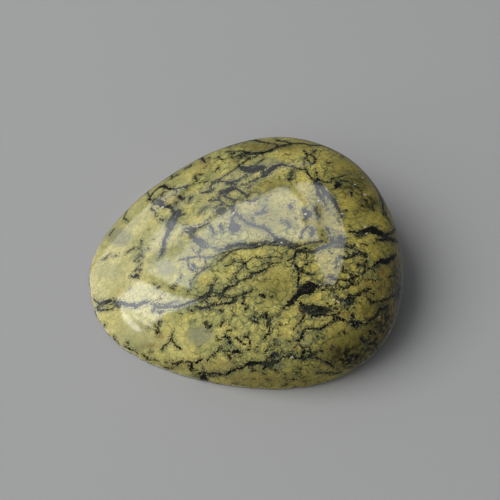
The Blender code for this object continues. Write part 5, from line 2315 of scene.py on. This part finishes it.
@dataclass(frozen=True)
class VeinField:
    """Geometry Nodes: lays the veins' lines on the stone and stores what the finish reads."""

    name: str = "vein_field"
    step: float = 0.00006
    engraving: float = 0.000003
    waver: float = 0.000030
    waver_scale: float = 210.0
    sinking: Band = Band(0.00015, -0.0001)

    def build(self) -> bpy.types.NodeTree:
        """Build the tree.

        Returns:
            The geometry node group.
        """
        takes = {
            "Stone": "Geometry",
            "Fine Veins": "Object",
            "Broad Veins": "Object",
            "Step": self.step,
            "Engraving": self.engraving,
            "Waver": self.waver,
            "Waver Scale": self.waver_scale,
            "Polished": "Material",
            "Sawn": "Material",
        }
        make, taken = TreeBuilder.group(self.name, takes, {"Stone": "Geometry"}, "Geometry")
        stone = self.wavered(make, taken)
        stone = self.measured(make, stone, taken["Fine Veins"], taken["Step"], "fine")
        stone = self.measured(make, stone, taken["Broad Veins"], taken["Step"], "broad")
        stone = self.engraved(make, stone, taken["Engraving"])
        stone = make.add("GeometryNodeRealizeInstances", None, {0: stone}).outputs[0]
        values = {"Geometry": stone, "Material": taken["Polished"]}
        stone = make.add("GeometryNodeSetMaterial", None, values).outputs[0]
        base = make.maths("GREATER_THAN", self.named(make, "sawn"), 0.5)
        values = {"Geometry": stone, "Selection": base, "Material": taken["Sawn"]}
        stone = make.add("GeometryNodeSetMaterial", None, values).outputs[0]
        return make.give({"Stone": stone})

    def named(self, make: TreeBuilder, name: str) -> Socket:
        """Read one of the stone's own point values."""
        settings = {"data_type": "FLOAT"}
        return make.add("GeometryNodeInputNamedAttribute", settings, {"Name": name}).outputs[0]

    def pushed(self, make: TreeBuilder, stone: Socket, amount: Socket) -> Socket:
        """Move the polished skin along its normal, and leave the rim and the base.

        Args:
            make: The tree's builder.
            stone: The stone's geometry.
            amount: How far each point moves, in metres.

        Returns:
            The moved stone.
        """
        skin = make.maths("SUBTRACT", 1.0, self.named(make, "sawn"), clamp=True)
        above = make.maths("SUBTRACT", 1.0, self.named(make, "edge"))
        normal = make.add("GeometryNodeInputNormal").outputs[0]
        offset = make.scaled(normal, make.product(amount, make.product(skin, above)))
        values = {"Geometry": stone, "Offset": offset}
        return make.add("GeometryNodeSetPosition", None, values).outputs[0]

    def wavered(self, make: TreeBuilder, taken: bpy.types.NodeOutputs) -> Socket:
        """Give the skin the slight unevenness of hand polishing.

        Args:
            make: The tree's builder.
            taken: The sockets of the tree's inputs.

        Returns:
            The uneven stone.
        """
        place = make.add("GeometryNodeInputPosition").outputs[0]
        wave = make.noise(place, Grain(taken["Waver Scale"], 1.0, 0.5))
        return self.pushed(make, taken["Stone"], make.product(make.centred(wave), taken["Waver"]))

    def measured(
        self, make: TreeBuilder, stone: Socket, veins: Socket, step: Socket, kind: str
    ) -> Socket:
        """Store the nearest vein's place, gap, half width and tone at every point.

        Args:
            make: The tree's builder.
            stone: The stone's geometry.
            veins: The wire object of these veins.
            step: The spacing of the points along a vein.
            kind: The first word of the attributes' names.

        Returns:
            The stone with four more attributes.
        """
        wires = make.add("GeometryNodeObjectInfo", None, {"Object": veins}).outputs["Geometry"]
        curve = make.add("GeometryNodeMeshToCurve", None, {0: wires}).outputs[0]
        settings = {"spline_type": "CATMULL_ROM"}
        smooth = make.add("GeometryNodeCurveSplineType", settings, {0: curve}).outputs[0]
        values = {0: smooth, "Length": step}
        even = make.add("GeometryNodeResampleCurve", {"mode": "LENGTH"}, values).outputs[0]
        lines = make.add("GeometryNodeCurveToMesh", None, {0: even}).outputs[0]
        near = make.add("GeometryNodeProximity", {"target_element": "EDGES"}, {0: lines}).outputs
        index = make.add("GeometryNodeSampleNearest", {"domain": "POINT"}, {0: lines}).outputs[0]
        for name, data_type, value in (
            ("point", "FLOAT_VECTOR", near["Position"]),
            ("gap", "FLOAT", near["Distance"]),
            ("half", "FLOAT", self.sampled(make, lines, index, "half")),
            ("tone", "FLOAT", self.sampled(make, lines, index, "tone")),
        ):
            settings = {"data_type": data_type, "domain": "POINT"}
            values = {"Geometry": stone, "Name": f"{kind}_{name}", "Value": value}
            stone = make.add("GeometryNodeStoreNamedAttribute", settings, values).outputs[0]
        return stone

    def sampled(self, make: TreeBuilder, lines: Socket, index: Socket, name: str) -> Socket:
        """Read a value of the nearest point of the lines."""
        values = {0: lines, 1: self.named(make, name), 2: index}
        settings = {"data_type": "FLOAT", "domain": "POINT"}
        return make.add("GeometryNodeSampleIndex", settings, values).outputs[0]

    def engraved(self, make: TreeBuilder, stone: Socket, depth: Socket) -> Socket:
        """Sink the broad veins slightly, as polishing does to a softer filling.

        Args:
            make: The tree's builder.
            stone: The stone's geometry.
            depth: How deep a vein sinks, in metres.

        Returns:
            The stone with sunk veins.
        """
        gap = self.named(make, "broad_gap")
        inside = make.maths("SUBTRACT", gap, self.named(make, "broad_half"))
        return self.pushed(make, stone, make.product(make.band(inside, self.sinking), depth, -1.0))


@dataclass
class PolishedStone:
    """The stone itself: its shell, its veins and its two finishes."""

    caster: SurfaceCaster
    field_rule: VeinField = field(default_factory=VeinField)
    sharp_angle: float = math.radians(32)

    def build(self) -> bpy.types.Object:
        """Build and dress the stone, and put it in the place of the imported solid.

        Returns:
            The finished piece.
        """
        mesh = self.caster.mesh
        TintMap(self.caster).write(mesh)
        fine, broad = VeinNetwork(self.caster).wires()
        raw = added("raw_stone", mesh)
        groups = StoneGroups.build()
        given = {
            "Fine Veins": fine,
            "Broad Veins": broad,
            "Step": self.field_rule.step,
            "Engraving": self.field_rule.engraving,
            "Waver": self.field_rule.waver,
            "Waver Scale": self.field_rule.waver_scale,
            "Polished": PolishedFinish().build(groups),
            "Sawn": SawnFinish().build(groups),
        }
        stone = plain_mesh(raw, self.field_rule.build(), given, "polished_stone")
        for spare in (raw, fine, broad):
            bpy.data.objects.remove(spare, do_unlink=True)
        stone.data.shade_smooth()
        stone.data.set_sharp_from_angle(angle=self.sharp_angle)
        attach(stone, "root")
        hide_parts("stone")
        return stone


def plain_mesh(
    raw: bpy.types.Object, tree: bpy.types.NodeTree, given: dict[str, object], name: str
) -> bpy.types.Object:
    """Run a Geometry Nodes tree on an object and keep the result as a plain mesh.

    Args:
        raw: The object that the tree works on.
        tree: The geometry node group.
        given: A value for each of the group's named inputs.
        name: The new object's name.

    Returns:
        A new object at the origin with the plain mesh.
    """
    modifier = raw.modifiers.new(tree.name, "NODES")
    modifier.node_group = tree
    for item in tree.interface.items_tree:
        if item.item_type == "SOCKET" and item.in_out == "INPUT" and item.name in given:
            modifier[item.identifier] = given[item.name]
    bpy.context.view_layer.update()
    graph = bpy.context.evaluated_depsgraph_get()
    mesh = bpy.data.meshes.new_from_object(
        raw.evaluated_get(graph), preserve_all_data_layers=True, depsgraph=graph
    )
    raw.modifiers.remove(modifier)
    mesh.name = name
    return added(name, mesh)


class Role(Enum):
    """What a light does to the stone."""

    MIRRORED = "is only mirrored"
    FILLING = "only lights"


@dataclass(frozen=True)
class PanelLight:
    """One soft round light, placed by what the stone sees of it.

    Angles are in degrees: the bearing from +Y towards +X, the height above the floor, and
    the width and the tallness that the stone sees.
    """

    name: str
    bearing: float
    height: float
    width: float
    tallness: float
    glow: float
    role: Role = Role.FILLING
    colour: Triple = (1.0, 1.0, 1.0)
    middle_height: float = 0.012

    def build(self) -> bpy.types.Object:
        """Make the light.

        Returns:
            The light object.
        """
        turn = math.radians(self.bearing)
        level = math.cos(math.radians(self.height))
        rise = math.sin(math.radians(self.height))
        towards = Vector((math.sin(turn) * level, math.cos(turn) * level, rise))
        across = towards.cross(Vector((0.0, 0.0, 1.0))).normalized()
        data = bpy.data.lights.new(self.name, "AREA")
        data.shape = "ELLIPSE"
        data.size = 2 * LIGHTS_DISTANCE * math.tan(math.radians(self.width / 2))
        data.size_y = 2 * LIGHTS_DISTANCE * math.tan(math.radians(self.tallness / 2))
        ellipse = math.pi / 4
        data.energy = self.glow * math.pi * data.size * data.size_y * ellipse
        data.color = self.colour
        light = added(self.name, data)
        axes = Matrix((-across, across.cross(towards), towards)).transposed()
        place = towards * LIGHTS_DISTANCE + Vector((0.0, 0.0, self.middle_height))
        light.matrix_world = Matrix.Translation(place) @ axes.to_4x4()
        light.visible_glossy = self.role is Role.MIRRORED
        light.visible_diffuse = self.role is Role.FILLING
        return light


@dataclass(frozen=True)
class MirroredPane:
    """A bright pane that the polish mirrors, told by where its image shows in the picture.

    The outline runs round the image of the pane, each point in picture pixels. The pane
    itself stands far off, in the place that the stone mirrors there, and only gloss sees it.
    """

    name: str
    glow: float
    outline: tuple[tuple[float, float], ...]
    step: float = 4.0

    def corners(self, caster: SurfaceCaster) -> list[Vector]:
        """Return the pane's own outline.

        Args:
            caster: Finds what the stone mirrors at each picture point.

        Returns:
            The places that are mirrored along the outline.
        """
        loop = [(x, y, 0.0) for x, y in self.outline + self.outline[:1]]
        places = []
        for x, y, _ in densify(loop, self.step)[:-1]:
            point, direction = caster.mirrored(x, y)
            places.append(point + direction * LIGHTS_DISTANCE)
        return places

    def build(self, caster: SurfaceCaster) -> bpy.types.Object:
        """Make the pane.

        Args:
            caster: Finds what the stone mirrors at each picture point.

        Returns:
            The glowing pane, marked as a part of the surroundings.
        """
        corners = self.corners(caster)
        mesh = bpy.data.meshes.new(self.name)
        mesh.from_pydata(corners, [], [tuple(range(len(corners)))])
        material = bpy.data.materials.new(self.name)
        material.use_nodes = True
        material.node_tree.nodes.clear()
        make = TreeBuilder(material.node_tree)
        values = {"Color": (*DAYLIGHT, 1.0), "Strength": self.glow}
        shine = make.add("ShaderNodeEmission", None, values).outputs["Emission"]
        make.add("ShaderNodeOutputMaterial", None, {"Surface": shine})
        mesh.materials.append(material)
        pane = added(self.name, mesh)
        pane.visible_camera = False
        pane.visible_diffuse = False
        pane.visible_shadow = False
        return pane


@dataclass(frozen=True)
class Studio:
    """Plain pale floor and plain soft light."""

    floor_half: float = 3.0
    floor_colour: Colour = srgb(190, 190, 189)
    floor_roughness: float = 0.8
    sky_colour: Colour = (0.86, 0.90, 1.0, 1.0)
    sky_strength: float = 0.10
    panes: tuple[MirroredPane, ...] = (
        MirroredPane("pane_left", 6.6, (
            (117, 302), (122, 296), (130, 287), (139, 280), (148, 283), (158, 289), (172, 294),
            (196, 300), (182, 308), (165, 314), (157, 321), (150, 322), (138, 314), (120, 308),
        )),
        MirroredPane("pane_slat_1", 7.0, (
            (119, 309), (123, 309), (131, 318), (141, 330), (138, 333), (132, 329), (124, 319),
        )),
        MirroredPane("pane_slat_2", 7.0, (
            (124, 309), (140, 317), (151, 325), (149, 327), (135, 318),
        )),
        MirroredPane("pane_middle", 4.8, (
            (145, 271), (154, 263), (163, 256), (172, 247), (188, 235), (200, 226), (222, 211),
            (246, 201), (262, 194), (275, 190), (287, 187), (300, 200), (312, 222), (320, 240),
            (300, 241), (268, 240), (250, 241), (228, 247), (215, 258), (200, 270), (191, 290),
            (166, 281), (155, 275),
        )),
        MirroredPane("pane_right", 3.6, (
            (293, 184), (308, 182), (327, 188), (335, 206), (341, 220), (346, 235), (344, 252),
            (342, 264), (334, 285), (326, 284), (320, 270), (314, 254), (318, 247), (331, 243),
            (324, 228), (314, 212), (303, 196),
        )),
    )
    panels: tuple[PanelLight, ...] = (
        PanelLight("sill_glow", -30, 27, 50, 6, 0.9, Role.MIRRORED, DAYLIGHT),
        PanelLight("low_left", -52, 13, 46, 20, 1.5, Role.MIRRORED, DAYLIGHT),
        PanelLight("left_high", -88, 54, 50, 40, 3.4),
        PanelLight("left_low", -95, 20, 70, 30, 0.5),
        PanelLight("front_left", -132, 34, 50, 40, 1.2),
        PanelLight("fill_right", 62, 36, 60, 40, 0.15),
        PanelLight("fill_back", 0, 26, 60, 30, 0.15),
    )

    def build(self, caster: SurfaceCaster) -> None:
        """Make the floor, the even sky, the soft lights and the mirrored panes.

        Args:
            caster: Finds what the stone mirrors at each picture point.
        """
        self.lay_floor()
        world = bpy.data.worlds.new("even_sky")
        world.use_nodes = True
        sky = world.node_tree.nodes["Background"]
        sky.inputs["Color"].default_value = self.sky_colour
        sky.inputs["Strength"].default_value = self.sky_strength
        bpy.context.scene.world = world
        for panel in self.panels:
            panel.build()
        for pane in self.panes:
            pane.build(caster)
        view = bpy.context.scene.view_settings
        view.view_transform = "Standard"
        view.look = "None"

    def lay_floor(self) -> None:
        """Make the floor. Gloss doesn't see it, because a pale one would grey the polish."""
        mesh = bpy.data.meshes.new("floor")
        half = self.floor_half
        corners = [(-half, -half, 0.0), (half, -half, 0.0), (half, half, 0.0), (-half, half, 0.0)]
        mesh.from_pydata(corners, [], [(0, 1, 2, 3)])
        floor = added("floor", mesh)
        material, _, shader = new_material("pale_floor")
        shader["Base Color"].default_value = self.floor_colour
        shader["Roughness"].default_value = self.floor_roughness
        mesh.materials.append(material)
        floor.visible_glossy = False


def main() -> None:
    """Build the camera, the studio and the stone, and note the sizes."""
    logging.basicConfig(level=logging.INFO, format="%(name)s: %(message)s")
    camera = PhotoCamera()
    camera.build()
    caster = SurfaceCaster(camera, StoneShell().build())
    Studio().build(caster)
    LOG.info("studio: floor, sky, %d lights, %d panes", len(Studio.panels), len(Studio.panes))
    stone = PolishedStone(caster).build()
    LOG.info("%s: %d points", stone.name, len(stone.data.vertices))


if __name__ == "__main__":
    main()
